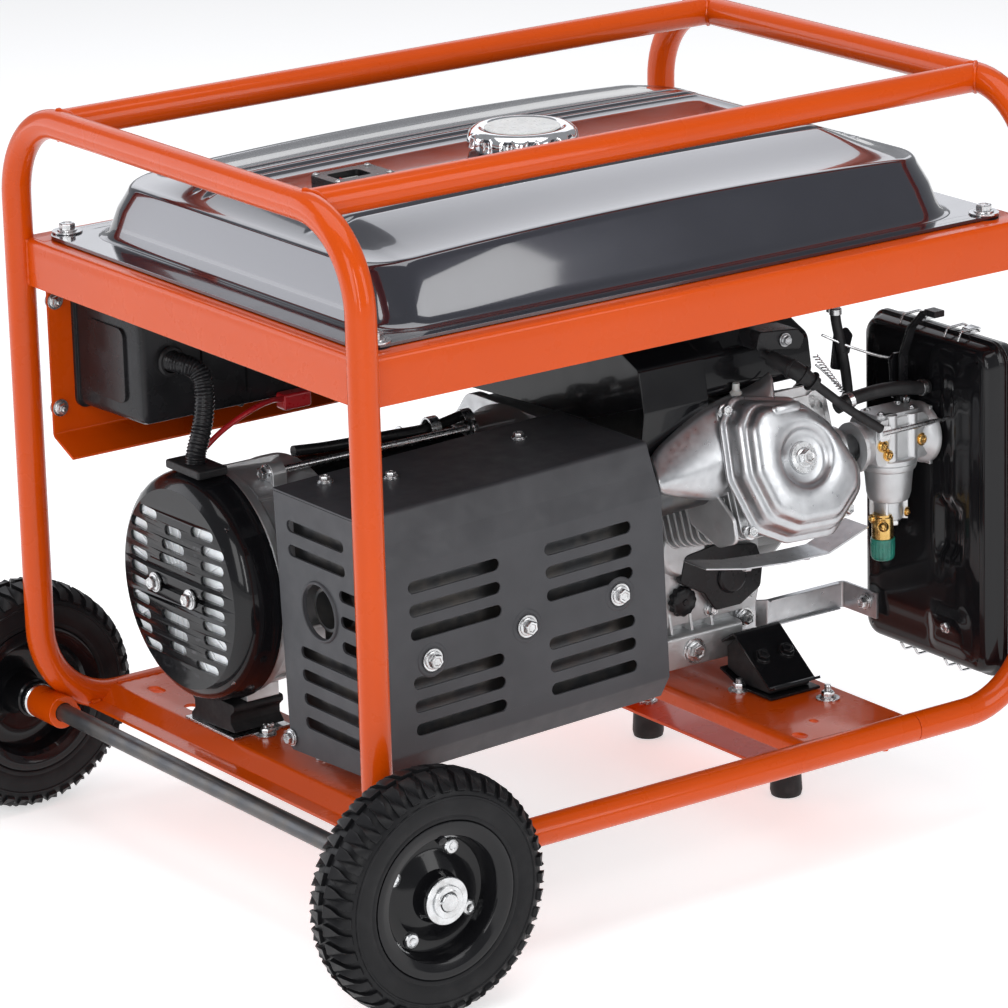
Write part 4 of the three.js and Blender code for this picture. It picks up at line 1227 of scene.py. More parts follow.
def make_guard_end():
    outline = [(-27, 257.8), (-145.8, 257.8), (-154.2, 235.4), (-163, 216.4), (-163, 57.7), (-149.6, 37.4),
               (-30, 32), (-27, 34)]
    holes = []
    groups = ((-127, -44, (232, 211)), (-146, -116, (189, 167, 145)), (-146, -53, (125, 105, 84, 63)))
    for y0, y1, heights in groups:
        holes += [obround(((y0 + y1) / 2, z), y1 - y0, GUARD["slot"], 10) for z in heights]
    holes.append(circle(23.2, 40, TAIL))
    left = GUARD["left"]
    end = Shape().at(GUARD_TILT).plate(outline, holes, left + 0.2, left + 2.2, "X")
    end.show("guard_end", "guard_paint", bevel=0.7, segments=3)


def make_guard_rims():
    """Collar round the tail, and the flange on the far edge."""
    left, right = GUARD["left"], GUARD["right"]
    rims = Shape().at(GUARD_TILT @ about_x(*TAIL))
    rims.lathe([(left + 2.4, 23), (left - 1.6, 23.4), (left - 2.2, 24.4), (left - 1.4, 25.6),
                (left + 0.4, 26.4), (left + 2.4, 25.5)], 56)
    rims.at(GUARD_TILT).block((right - 1.6, right), (-163.4, -150), (60, 214))
    rims.show("guard_rims", "guard_paint", bevel=0.4)


def make_guard_bolts():
    bolts = Shape().at(GUARD_TILT)
    for x, z in GUARD_BOLTS:
        bolts.hex_bolt((x, -165.2, z), (0, -1, 0), 11, 6.5, 9.6, spin=x * 0.02)
    bolts.hex_bolt((GUARD["left"] - 0.2, -30.5, 43), (-1, 0, 0), 9, 5, 7.5)
    for x, y in ((-191, -76), (-54, -65), (-236, -46)):
        bolts.hex_bolt((x, y, 260), (0, 0, 1), 8, 4.5, 7)
    bolts.show("guard_bolts", "bolt_zinc", bevel=0.25)


def make_guard_lining():
    """Dark inner box that closes the view through the slots, open round the tail."""
    left, right = GUARD["left"], GUARD["right"]
    path = flat_bend([(-40, 46), (-146, 46), (-150, 58), (-150, 226), (-140, 246), (-40, 246)], 5, 4)
    lining = add_folded(Shape().at(GUARD_TILT), path, (left + 8, right - 6), 1.2)
    for z0, z1 in ((47, 136), (196, 244)):
        outline = rounded_loop([(-146, z0), (-40, z0), (-40, z1), (-146, z1)], 6, 4)
        lining.prism(outline, left + 9, left + 10.2, "X")
    lining.show("guard_lining", "dark_steel", bevel=0.3)


def make_guard_seats():
    seats = Shape()
    for x, z in GUARD_BOLTS:
        seats.at(GUARD_TILT @ facing((x, -165, z), (0, -1, 0)))
        seats.lathe([(-0.4, 10.5), (0.5, 11.2), (0.7, 12.6), (0.3, 14.2), (-0.4, 15)], 40)
    seats.show("guard_bolt_seats", "guard_paint")


def make_muffler():
    outline = rectangle((-145, -52), (70, 232), 34, 10)
    centre = (-98.5, 151)
    rings = []
    for x, scale in ((-251, 0.80), (-252.6, 0.9), (-250, 0.96), (-246, 1.0), (-243, 1.02), (-241, 1.0),
                     (-180, 1.0), (-178, 1.012), (-172, 1.012), (-170, 1.0), (-80, 1.0), (-78, 1.012),
                     (-72, 1.012), (-70, 1.0), (-17, 1.0), (-15, 1.02), (-12, 1.0), (-9, 0.96), (-8, 0.88)):
        rings.append([(x, y, z) for y, z in scaled(outline, centre, scale)])
    can = Shape().at(GUARD_TILT).skin(rings)
    tail = [(-248, 16), (-268, 16), (-268, 18.6), (-262, 18.8), (-254, 18.8), (-251, 22), (-248, 22)]
    can.at(GUARD_TILT @ about_x(*TAIL)).lathe(tail, 40)
    inlet = [(-16, 14), (91, 14), (91, 16), (-9, 16), (-10, 19), (-16, 19)]
    can.at(GUARD_TILT @ about_x(-126, 200)).lathe(inlet, 32)
    can.show("exhaust_can", "dark_steel", sharp=40, stands_for=["muffler"])


# ------------------------------------------------------------------ alternator
ALTERNATOR = {"face": -305, "bracket": -261.7, "stator": (-181.7, -20)}
THROUGH_BOLTS = (108, 40, 220, 320)


def make_alternator_cover():
    """Dished cover with rows of slots, and its rolled edge."""
    face, start = ALTERNATOR["face"], ALTERNATOR["bracket"]
    slots = []
    for side in (-1, 1):
        for row in range(10):
            reach = 42 if row in (0, 9) else 57
            slots.append(obround((side * reach, (row - 4.5) * 13), 31, 8.6, 7))
        for row in range(3):
            slots.append(obround((0, side * (25 + row * 13)), 44 - row * 9, 8.6, 7))

    def dished(u, v, w):
        radius = math.hypot(u, v)
        rise = 1.6 * smoothstep((30 - radius) / 8) + 5.5 * (radius / 86) ** 2.4
        return (face + w + rise, CRANK.y + u, CRANK.z + v)

    cover = Shape().plate(circle(86, 96), slots, 0, 2.4, wall=dished)
    edge = [(face + 5.5, 85.9), (face + 7.6, 89.5), (face + 11, 93.5), (face + 16, 96.8), (face + 23, 98.9),
            (face + 30, 99.7), (start - 6, 100), (start - 5, 100.8), (start - 0.6, 100.8), (start - 0.4, 97.6),
            (face + 24, 96.6), (face + 12.5, 91), (face + 8, 86)]
    cover.at(CRANK_AXIS).lathe(edge, 96)
    cover.show("alternator_cover", "black_paint", bevel=0.7, segments=3, sharp=40,
               stands_for=["alternator_end_cover"])


def make_alternator_screws():
    face = ALTERNATOR["face"]
    screws = Shape()
    for y, z in ((CRANK.y + 28, CRANK.z + 1), (CRANK.y - 26, CRANK.z - 1)):
        screws.hex_bolt((face - 0.1, y, z), (-1, 0, 0), 10, 5.5, 8.6, spin=y)
    for turn in (45, 135, 225, 315):
        u, v = round_point(1, math.radians(turn))
        screws.screw((face + 13.4, CRANK.y + 92 * u, CRANK.z + 92 * v), (-0.7, 0.5 * u, 0.5 * v), 4.2)
    screws.show("alternator_screws", "bolt_zinc", bevel=0.2)


def make_alternator_screen():
    """Spoked plate behind the slots of the cover, coloured near-white so that it shows as lit grey through the
    shaded slots: painted light.
    """
    face, spokes = ALTERNATOR["face"], 24
    screen = Shape().at(CRANK_AXIS)
    screen.lathe([(face + 7.6, 18), (face + 7.6, 80), (face + 9, 84), (face + 11, 84), (face + 9.4, 18)], 64)
    for k in range(spokes):
        turn = turned(2 * math.pi * k / spokes)
        screen.at(CRANK_AXIS @ turn).prism([(22, -0.7), (78, -1.2), (78, 1.2), (22, 0.7)], face + 6.4, face + 8)
    # The screen's near-white finish is painted light: it makes the slots read as lit grey in the cover's shade.
    screen.show("alternator_screen", "painted_light_white", bevel=0.4)


def make_end_bracket():
    """Ribbed casting between cover and stator, with ears for the through bolts and a foot."""
    start, ribs = ALTERNATOR["bracket"], 10
    bracket = Shape().at(CRANK_AXIS)
    bracket.lathe([(start, 88.5), (start, 97), (start + 2, 98.5), (start + 10, 98.5), (start + 13, 95.5),
                   (start + 60, 92.5), (start + 66, 95), (start + 79.6, 95), (start + 79.6, 88.3), (-208.4, 88),
                   (-208, 86), (-208, 15.6), (-218, 15.6), (-218, 86), (-219, 88)], 80)
    for k in range(ribs):
        turn = turned(2 * math.pi * (k + 0.4) / ribs)
        rib = [(91, -2.6), (97.5, -1.6), (97.5, 1.6), (91, 2.6)]
        bracket.at(CRANK_AXIS @ turn).prism(rib, start + 10, start + 70)
    ear = rounded_loop([(84, -15), (104, -9), (110, 0), (104, 9), (84, 15)], [0, 5, 8, 5, 0], 5)
    for turn in THROUGH_BOLTS:
        bracket.at(CRANK_AXIS @ turned(math.radians(turn))).prism(ear, start + 34, start + 48)
    foot = flat_bend([(58, 41.8), (126, 41.8), (126, 54), (118, 62), (66, 62), (58, 54)], 3, 3)
    bracket.at(Matrix()).prism(foot, -258, -226, "X")
    bracket.show("end_bracket", "cast_aluminium", bevel=0.8, sharp=36, stands_for=["alternator_bracket"])


def make_through_bolts():
    reach = 207
    studs = Shape()
    for turn in THROUGH_BOLTS:
        spot = CRANK_AXIS @ turned(math.radians(turn)) @ Vector((100, 0, ALTERNATOR["bracket"] + 34))
        studs.hex_bolt(spot, (-1, 0, 0), 10, 6, 8)
        studs.at(facing(spot, (1, 0, 0))).rod(14, reach - 1, 3.2, 14).at(Matrix())
        studs.hex_bolt(spot + Vector((reach, 0, 0)), (1, 0, 0), 10, 6, 8)
    studs.show("through_bolts", "bolt_zinc", bevel=0.2)


def make_stator():
    """Laminated core between two plain end bands."""
    x0, x1 = ALTERNATOR["stator"]
    profile = [(x0, 62.8), (x0, 88), (x0 + 1, 89.6), (x0 + 24, 90), (x0 + 25, 88.2)]
    lamination = x0 + 25
    while lamination < x1 - 28:
        profile += [(lamination, 88.2), (lamination + 1.4, 88.6), (lamination + 2.4, 88.2)]
        lamination += 3.2
    profile += [(x1 - 26, 88.2), (x1 - 25, 90), (x1 - 1, 90), (x1, 88.5), (x1, 62.8)]
    core = Shape().at(CRANK_AXIS).lathe(profile, 72)
    core.show("stator_core", "black_paint", sharp=50, stands_for=["stator"])


def make_stator_loom():
    """Cable loom along the top of the stator, with its two clips."""
    path = smooth_path([(-186, 84, 243), (-150, 84, 240), (-90, 82, 238.5), (-50, 80, 238), (-14, 80, 243)], 8)
    Shape().sweep(path, circle(4.6, 14)).show("stator_loom", "black_plastic")
    clips = Shape()
    for x in (-47, -12):
        arch = [round_point(1, math.pi * i / 10) for i in range(11)]
        strap = [(x, 80 + 9 * u, 235 + 12 * v) for u, v in arch]
        clips.sweep(strap, rectangle((-1, 1), (-5, 5)), up=(1, 0, 0))
        clips.hex_bolt((x, 90, 233.4), (0, 0.25, 1), 7, 4, 6)
    clips.show("loom_clips", "bolt_zinc", bevel=0.2)


def make_alternator_mount():
    """Waisted rubber block under the foot, its plate, and the grommet above it."""
    waisted = [(58, 13), (126, 13), (126, 18), (120, 24), (120, 31), (126, 36), (126, 41.4), (58, 41.4),
               (58, 36), (64, 31), (64, 24), (58, 18), (58, 13)]
    rubber = Shape().prism(flat_bend(waisted, 2.5, 3)[1:-1], -272, -222, "X")
    rubber.show("alternator_mount", "mount_rubber", bevel=1.2, stands_for=["rubber_mount_alternator"])
    plate = Shape().block((-276, -218), (54, 130), (12.2, 14.4))
    for y in (50, 134):
        plate.stud_nut((-246, y, 12.1), (0, 0, 1), 9, 5, 4, 9)
    plate.show("alternator_mount_plate", "bolt_zinc", bevel=0.4)
    plug = Shape().block((-292, -262), (66, 118), (241.2, 249))
    plug.show("lead_grommet", "mount_rubber", bevel=2.2, segments=4)


# ------------------------------------------------------------------ engine
BANK_TILT = math.radians(18.2)
BANK = Matrix(((1, 0, 0, 150), (0, math.sin(BANK_TILT), -math.cos(BANK_TILT), CRANK.y),
               (0, math.cos(BANK_TILT), math.sin(BANK_TILT), CRANK.z), (0, 0, 0, 1)))
COVER_EDGE = [(-44, 62), (-60, 42), (-64, -5), (-49, -50), (-19, -66), (30, -68), (63, -41), (67, -20),
              (42, 27), (15, 50)]


def polar(outline, steps):
    """Outline sampled at even angles round the origin, so that rings of different sizes match up."""
    loop = []
    for i in range(steps):
        angle = 2 * math.pi * i / steps
        ray = Vector((math.cos(angle), math.sin(angle)))
        best = 0.0
        for a, b in zip(outline, outline[1:] + outline[:1]):
            a, b = Vector(a), Vector(b)
            side = b - a
            cross = ray.x * side.y - ray.y * side.x
            if abs(cross) < 1e-9:
                continue
            reach = (a.x * side.y - a.y * side.x) / cross
            share = (a.x * ray.y - a.y * ray.x) / cross
            if reach > 0 and -1e-6 <= share <= 1 + 1e-6:
                best = max(best, reach)
        loop.append((ray.x * best, ray.y * best))
    return loop


def make_valve_cover():
    """Pressed cover: stepped wall, rounded roof, and a round well for the bolt."""
    steps = 120
    edge = polar(rounded_loop(COVER_EDGE, 13, 6), steps)
    inner = polar(rounded_loop(COVER_EDGE, 20, 8), steps)
    wide = [(1.0, 266.4), (1.03, 267), (1.035, 268.4), (1.02, 269.8), (0.975, 270.2), (0.955, 271),
            (0.945, 274), (0.935, 280), (0.915, 284), (0.885, 286), (0.86, 286.6), (0.835, 287), (0.82, 288.4),
            (0.81, 291), (0.79, 293.8), (0.75, 295.6), (0.70, 296.2)]
    rings = []
    for scale, s in wide:
        source = edge if scale > 0.93 else inner
        rings.append([(x * scale, v * scale, s) for x, v in source])
    for blend, s in ((0.75, 296.9), (0.4, 297.2), (0.0, 296.6)):
        ring = []
        for (x, v), (cx, cv) in zip(inner, circle(28, steps)):
            ring.append((cx + (x * 0.7 - cx) * blend, cv + (v * 0.7 - cv) * blend, s))
        rings.append(ring)
    for radius, s in ((26, 295.4), (24.4, 292.8), (22.5, 290.6), (20, 289.6), (14, 289.4), (13.6, 290.6),
                      (11, 291), (0.3, 291)):
        rings.append([(x, v, s) for x, v in circle(radius, steps)])
    Shape().at(BANK).skin(rings).show("rocker_cover", "zinc_steel", sharp=55, stands_for=["valve_cover"])
    bolt = Shape().at(BANK)
    bolt.hex_bolt((0, 0, 290.8), (0, 0, 1), 12, 8.5, 13.2, spin=0.5)
    bolt.show("rocker_cover_bolt", "bolt_zinc", bevel=0.3)
    gasket = Shape().at(BANK).prism([(x * 0.99, v * 0.99) for x, v in edge], 264.6, 266.4)
    gasket.show("rocker_cover_gasket", "mount_rubber")
    # Generic blank pad pressed into the cover above the bolt.
    pad = Shape().at(BANK @ Matrix.Translation((-10, 44, 0)))
    outline = polar(rectangle((-14, 14), (-4, 4), 3.9, 6), 60)
    levels = ((1.1, 295), (1.0, 296.6), (0.86, 297.6), (0.1, 297.8))
    pad.skin([[(x * scale, v * scale, s) for x, v in outline] for scale, s in levels])
    pad.show("rocker_cover_pad", "zinc_steel", sharp=60)


def rounded_square(half, radius):
    return rectangle((-half, half), (-half, half), radius, 5)


HEAD_BOLT = 44


def make_head():
    """Finned head with its bolts and spark plug."""
    head = Shape().at(BANK)
    for s in (236.4, 244, 251.5, 259):
        head.prism(rounded_square(58, 10), s, s + 3)
    head.prism(rounded_square(50, 12), 236.4, 266)
    for x, v in CORNERS:
        head.at(BANK @ about_z(x * HEAD_BOLT, v * HEAD_BOLT)).rod(236.4, 266, 9, 24)
    boss = [(0, 0), (0, 13), (8, 13), (9, 11), (9, 0)]
    head.at(BANK @ facing((36, -46, 250), (0.3, -1, 0.25))).lathe(boss, 30)
    head.show("head_casting", "cast_aluminium", bevel=0.7, stands_for=["cylinder_head"])
    plug = Shape().at(BANK @ facing((-30, 52, 252), (0, 1, 0.35)))
    plug.lathe([(0, 0), (0, 7), (3, 7), (4, 5.4), (14, 5.2), (16, 3.4), (22, 3), (22, 0)], 20)
    plug.show("plug_insulator", "white_plastic")
    studs = Shape().at(BANK)
    for x, v in CORNERS[:3]:
        studs.hex_bolt((x * HEAD_BOLT * 1.18, v * HEAD_BOLT * 1.18, 264), (0, 0, 1), 9, 6, 6.5)
    studs.show("head_bolts", "bolt_zinc", bevel=0.2)


def make_engine_block():
    """Cast block with its bell, flanges, ribs and feet, and the barrel's core."""
    block = Shape()
    full = [(-45.5, 30), (188, 30), (190, 44), (190, 196), (158, 236), (-45.5, 236)]
    waist = [(-45.5, 34), (184, 34), (185.5, 46), (185.5, 194), (156, 232), (-45.5, 232)]
    radii = [8, 10, 10, 18, 20, 8]
    for outline, x0, x1 in ((full, 45.4, 56), (waist, 52, 200), (full, 150, 158), (full, 195, 204.6)):
        block.prism(rounded_loop(outline, radii, 5), x0, x1, "X")
    bell = [(-19.4, 70), (-19.4, 91), (-18.4, 92), (-9, 92), (-7, 90), (34, 90), (44, 95), (48, 95), (48, 70)]
    block.at(CRANK_AXIS).lathe(bell, 80)
    ribs = 16
    for k in range(ribs):
        block.at(CRANK_AXIS @ turned(2 * math.pi * (k + 0.5) / ribs))
        block.prism([(88, -1.6), (91.6, -1.4), (91.6, 1.4), (88, 1.6)], -8, 46)
    block.at(Matrix())
    for z in (66, 96, 126, 156, 186):
        fin = [(184, z - 2), (189.4, z - 1.4), (189.4, z + 1.4), (184, z + 2)]
        block.prism(rounded_loop(fin, [0, 1.2, 1.2, 0], 3), 54, 197, "X")
    for x in (88, 120):
        block.block((x - 1.8, x + 1.8), (184, 188.8), (46, 196))
    for x in (102, 126, 150, 171):
        block.prism([(185, 50), (211, 32), (211, 24), (185, 24)], x - 2, x + 2, "X")
    foot = [(184, 22), (211.8, 22), (211.8, 30), (194, 31), (184, 32)]
    block.prism(rounded_loop(foot, [1, 3, 3, 6, 1], 4), 95, 178, "X")
    block.at(FILLER_AXIS).lathe([(184, 0), (184, 17), (192, 16), (193, 15), (193, 0)], 36)
    block.at(BANK).prism(rounded_square(50, 14), 120, 236)
    block.at(Matrix()).show("engine_block", "cast_aluminium", bevel=1.3, segments=3, sharp=34,
                            stands_for=["crankcase"])


def make_oil_filler():
    filler = Shape().at(FILLER_AXIS)
    filler.lathe([(193.2, 0), (193.2, 13), (196, 14.5), (201, 14.5), (202.4, 13), (202.4, 5), (208, 4),
                  (208.6, 0)], 12)
    filler.show("oil_filler_cap", "black_plastic", bevel=0.8, segments=3)


def make_crankcase_side():
    """Ribbed foot rail, side cover and its round boss on the muffler side."""
    side = Shape()
    section = [(-62, 22), (-62, 50), (-58, 52), (-46, 52), (-40, 50), (-40, 22)]
    side.prism(rounded_loop(section, [2, 3, 3, 3, 3, 2], 3), 22, 178, "X")
    for x in range(40, 151, 22):
        side.prism([(-45.5, 50), (-56, 50), (-47, 96), (-45.5, 98)], x - 1.6, x + 1.6, "X")
    cover = [(46, 58), (200, 58), (204, 74), (204, 176), (186, 200), (70, 214), (46, 206)]
    side.prism(rounded_loop(cover, [6, 6, 10, 14, 16, 16, 6], 6), -52, -44.5, "Y")
    side.at(about_y(118, 128)).lathe([(-59, 0), (-59, 22), (-57, 24), (-51, 26), (-51, 0)], 48)
    side.at(Matrix()).show("crankcase_side", "cast_aluminium", bevel=1.4, segments=3, sharp=34)


def make_cylinder_fins():
    fins = Shape().at(BANK)
    for i in range(9):
        s = 150 + i * 9.5
        fins.plate(rounded_square(58, 12), [circle(47, 40)], s + 0.4, s + 3.2)
    fins.show("cylinder_fins", "cast_aluminium", bevel=0.6)


def make_crankcase_bolts():
    """Bolts of the foot rail, the side cover, the bell flange and the far feet, and the oil drain."""
    bolts = Shape()
    for x in (124, 46):
        bolts.hex_bolt((x, -62.2, 36), (0, -1, 0), 13, 7.5, 11.5)
    for x, z in ((56, 70), (90, 66), (150, 66), (192, 74), (194, 150), (160, 196), (80, 200)):
        bolts.hex_bolt((x, -52.2, z), (0, -1, 0), 8, 5.5, 7)
    for y, z in ((178, 52), (180, 120), (178, 186), (120, 224), (40, 224)):
        bolts.hex_bolt((45.4, y, z), (-1, 0, 0), 8, 5.5, 7)
    for x in (108, 166):
        bolts.hex_bolt((x, 203, 30.4), (0, 0, 1), 10, 6, 8.5)
    bolts.show("crankcase_bolts", "bolt_zinc", bevel=0.25)
    drain = Shape().at(about_y(70, 40)).lathe([(-70, 0), (-70, 7), (-68, 8), (-62, 8), (-62, 0)], 24)
    drain.show("oil_drain", "brass")


def make_blower_housing():
    """Pressed plate round the recoil drum that closes the fan end of the engine."""
    corners = [(-42, 66), (-8, 34), (186, 34), (197, 46), (197, 262), (-42, 262)]
    outline = rounded_loop(corners, [10, 16, 10, 10, 12, 12], 5)
    plate = Shape().plate(outline, [circle(99.8, 80, (CRANK.y, CRANK.z))], 205.2, 207.4, "X")
    lip = [(207, u, v) for u, v in outline]
    plate.sweep(lip, rectangle((-1.6, 1.6), (-1.4, 2.6)), up=(1, 0, 0), caps=False, loop=True)
    plate.at(CRANK_AXIS).lathe([(207.2, 99.9), (207.2, 104), (209.6, 103), (210.4, 101.4), (210.4, 99.9)], 80)
    plate.at(Matrix()).show("blower_housing", "black_paint", bevel=0.5)
    bolts = Shape()
    for y, z in ((-30, 84), (-30, 170), (-30, 246), (40, 250), (150, 250), (184, 246), (186, 56), (8, 46)):
        bolts.hex_bolt((207.5, y, z), (1, 0, 0), 8, 5, 7)
    bolts.show("blower_bolts", "bolt_zinc", bevel=0.2)


STARTER = (219, 128)
SOLENOID = (STARTER[0] - 4, STARTER[1] + 46)


def make_starter_motor():
    """Body and nose of the electric starter on the panel side of the block."""
    axis = about_x(*STARTER)
    body = Shape().at(axis)
    body.lathe([(84, 0), (84, 15), (85.5, 22), (88, 26.6), (92, 28), (100, 28), (100.6, 27), (103, 27),
                (103.6, 28), (168, 28), (168.6, 27), (170, 27), (170, 0)], 56)
    body.show("starter_body", "black_paint", sharp=40)
    nose = Shape().at(axis)
    taper = [(170.2, 0), (170.2, 28.6), (176, 28.6), (180, 26), (190, 24), (199, 23), (200, 21), (200, 0)]
    nose.lathe(taper, 56)
    flange = rounded_loop([(186, 96), (226, 98), (226, 158), (186, 170)], [2, 12, 12, 2], 5)
    nose.at(Matrix()).prism(flange, 171, 181, "X")
    nose.show("starter_nose", "cast_aluminium", bevel=1.0, segments=3, sharp=34)


def make_starter_solenoid():
    axis = about_x(*SOLENOID)
    solenoid = Shape().at(axis)
    solenoid.lathe([(108, 0), (108, 14), (110, 16), (160, 16), (162, 17.4), (168, 17.4), (168, 0)], 40)
    saddle = rounded_loop([(203, 150), (224, 150), (228, 160), (199, 160)], [2, 2, 2, 2], 3)
    solenoid.at(Matrix()).prism(saddle, 116, 158, "X")
    solenoid.show("starter_solenoid", "bolt_zinc", bevel=0.6, segments=2)
    cap = Shape().at(axis).lathe([(101, 0), (101, 12), (103, 13.4), (107.8, 13.4), (107.8, 0)], 30)
    cap.show("solenoid_cap", "black_plastic", bevel=0.5)


def make_starter_studs():
    """Three terminals, two flange bolts and two body screws."""
    y, z = STARTER
    studs = Shape()
    for dy, dz in ((-7, 3), (7, 3), (0, -7)):
        studs.stud_nut((101, SOLENOID[0] + dy, SOLENOID[1] + dz), (-1, 0, 0), 6, 3.4, 5, 4.4)
    for dz in (-20, 28):
        studs.hex_bolt((181.2, 200, z + dz), (1, 0, 0), 9, 6, 8)
    for dz in (-16.8, 16.8):
        studs.hex_bolt((84.6, y, z + dz), (-1, 0, 0), 7, 4.5, 5)
    studs.show("starter_studs", "bolt_zinc", bevel=0.2)


def pressed_sheet(rows):
    """Smooth sheet through a coarse grid of points."""
    shape = Shape()
    fine = [smooth_path(row, 6) for row in rows]
    columns = [smooth_path([row[i] for row in fine], 6) for i in range(len(fine[0]))]
    grid = [[shape.vert(p) for p in column] for column in columns]
    for a, b in zip(grid, grid[1:]):
        for i in range(len(a) - 1):
            shape.face((a[i], a[i + 1], b[i + 1], b[i]))
    return shape


def make_cylinder_cowl():
    """Bright pressed cowl that wraps the cylinder and head on the muffler side."""
    rows = [
        [(31, -126, 241), (46, -127, 254), (90, -128, 277), (134, -131, 287), (154, -133, 296)],
        [(29, -132, 239), (45, -134, 251), (90, -138, 272), (134, -142, 281), (152, -142, 288)],
        [(26, -143, 227), (48, -150, 232), (88, -156, 242), (124, -160, 250), (142, -156, 258)],
        [(27, -144, 220), (54, -151, 219), (88, -157, 220), (114, -160, 226), (128, -156, 234)],
        [(31, -140, 214), (58, -147, 208), (88, -152, 203), (106, -153, 208), (118, -150, 216)],
        [(33, -134, 211), (60, -140, 204), (88, -145, 199), (104, -146, 203), (115, -143, 211)],
    ]
    made = pressed_sheet(rows).show("cylinder_cowl", "zinc_steel", sharp=70, stands_for=["exhaust_heat_shield"])
    made.modifiers.new("sheet", "SOLIDIFY").thickness = 1.2 * MM


def make_side_plate():
    outline = [(-98, 205), (-120, 206), (-150, 204), (-172, 188), (-176, 168), (-150, 158), (-112, 170)]
    plate = Shape().prism(rounded_loop(outline, 8, 5), 84, 88.5, "X")
    plate.show("cylinder_side_plate", "cast_aluminium", bevel=2.2, segments=4, sharp=30)


def make_air_guide():
    """Bent sheet that leads the air under the cylinder."""
    lip = Shape()
    path = flat_bend([(64, 146), (104, 138), (150, 134), (196, 133), (240, 148)], 8, 5)
    add_folded(lip, path, (-160, -128), 1.6, point=lambda a, b, w: (a, w, b))
    for x, z in ((118, 136.4), (182, 133.4)):
        lip.hex_bolt((x, -146, z), (0, 0, -1), 8, 4.5, 6)
    lip.show("air_guide", "zinc_steel", bevel=0.4)


def make_governor_cover():
    outline = [(118, 122), (150, 126), (196, 118), (203, 100), (200, 78), (178, 66), (150, 66), (138, 84),
               (112, 98)]
    cover = Shape().prism(rounded_loop(outline, 6, 4), -60, -52.2, "Y")
    cover.at(about_y(168, 94)).lathe([(-64, 0), (-64, 13), (-62.4, 15), (-60, 15.4), (-60, 0)], 36)
    cover.at(Matrix()).show("governor_cover", "black_plastic", bevel=1.6, segments=3)


def make_shroud():
    """Folded fan shroud with a lip over the cylinder and a wall at each end."""
    corners = [(-112, 280), (-128, 284), (-122, 318), (-60, 344), (120, 344), (189, 299), (189, 238)]
    shape = add_folded(Shape(), flat_bend(corners, 9, 6), (48, 204.6), 2.4)
    lip = flat_bend([(-121, 236), (-129.5, 282), (-122.5, 318), (-60, 345.6)], 6, 5)
    add_folded(shape, lip, (24, 92), 2)
    wall = [(-112, 281), (-126, 285), (-120.5, 317), (-60, 342.5), (119, 342.5), (187.6, 298.5), (187.6, 238),
            (-18, 249)]
    outline = rounded_loop(wall, [2, 5, 8, 8, 8, 8, 2, 2], 4)
    for x in (49.2, 203.4):
        shape.prism(outline, x - 1.2, x + 1.2, "X")
    shape.show("fan_shroud", "black_paint", bevel=0.8, stands_for=["engine_shroud"])


def make_shroud_fittings():
    ribs = Shape()
    for y in (-36, 0, 36, 72):
        ribs.prism(rectangle((62, 192), (y - 4, y + 4), 3.9, 6), 344.5, 347.4)
    ribs.show("shroud_ribs", "black_paint", bevel=1.2, segments=3, sharp=30)
    screws = Shape()
    for x in (58, 195):
        for y in (-52, 112):
            screws.hex_bolt((x, y, 345.2), (0, 0, 1), 8, 4.5, 7)
    screws.show("shroud_bolts", "bolt_zinc", bevel=0.2)


def make_coil():
    """Ignition coil and its bracket above the valve cover."""
    outline = [(128, 322), (176, 316), (180, 326), (172, 334), (132, 338)]
    coil = Shape().prism(rounded_loop(outline, 3, 4), -150, -122, "Y")
    coil.show("ignition_coil", "black_plastic", bevel=1.2, segments=3)
    bracket = Shape()
    bracket.prism([(120, 338), (160, 346), (164, 356), (134, 352), (120, 344)], -118, -115, "Y")
    bracket.block((126, 130), (-128, -104), (338, 352))
    bracket.hex_bolt((146, -118.2, 345), (0, -1, 0), 8, 5, 7)
    bracket.hex_bolt((158, -150.2, 327), (0, -1, 0), 7, 4.5, 6)
    bracket.show("coil_bracket", "zinc_steel", bevel=0.4)


RECOIL_START = 205.3
ROPE_EXIT = (CRANK.y - 62, CRANK.z + 62)


def make_recoil_housing():
    """Drum with slots in its face and its wall, and a hole for the rope."""
    start = RECOIL_START
    drum = Shape().at(CRANK_AXIS)
    drum.lathe([(start, 95.6), (start, 99), (start + 5, 99), (start + 6, 98), (278, 98), (284, 96.4), (290, 91),
                (293, 84), (294, 74), (294.6, 62), (296, 58), (296, 26), (293.6, 24), (293.6, 14), (296, 12),
                (296, 0.2), (292.6, 0.2), (292.6, 60), (291, 80), (286, 90), (278, 95.4)], 80)
    made = drum.show("recoil_housing", "black_paint", sharp=46, stands_for=["recoil_cover"])
    slots = Shape()
    face_slots, wall_slots = 10, 12
    for k in range(face_slots):
        turn = turned(2 * math.pi * k / face_slots)
        slots.at(CRANK_AXIS @ turn).prism(obround((44, 0), 24, 8, 6), 285, 300)
    for k in range(wall_slots):
        turn = turned(2 * math.pi * (k + 0.5) / wall_slots)
        slots.at(CRANK_AXIS @ turn @ facing((92, 0, 246), (1, 0, 0))).prism(obround((0, 0), 34, 9, 6), -4, 12)
    slots.at(facing((280, *ROPE_EXIT), (1, 0, 0))).rod(-12, 30, 4.2, 20)
    apply_cut(made, slots.cutter())
    edge_bevel(made, 0.6, 2, 46)


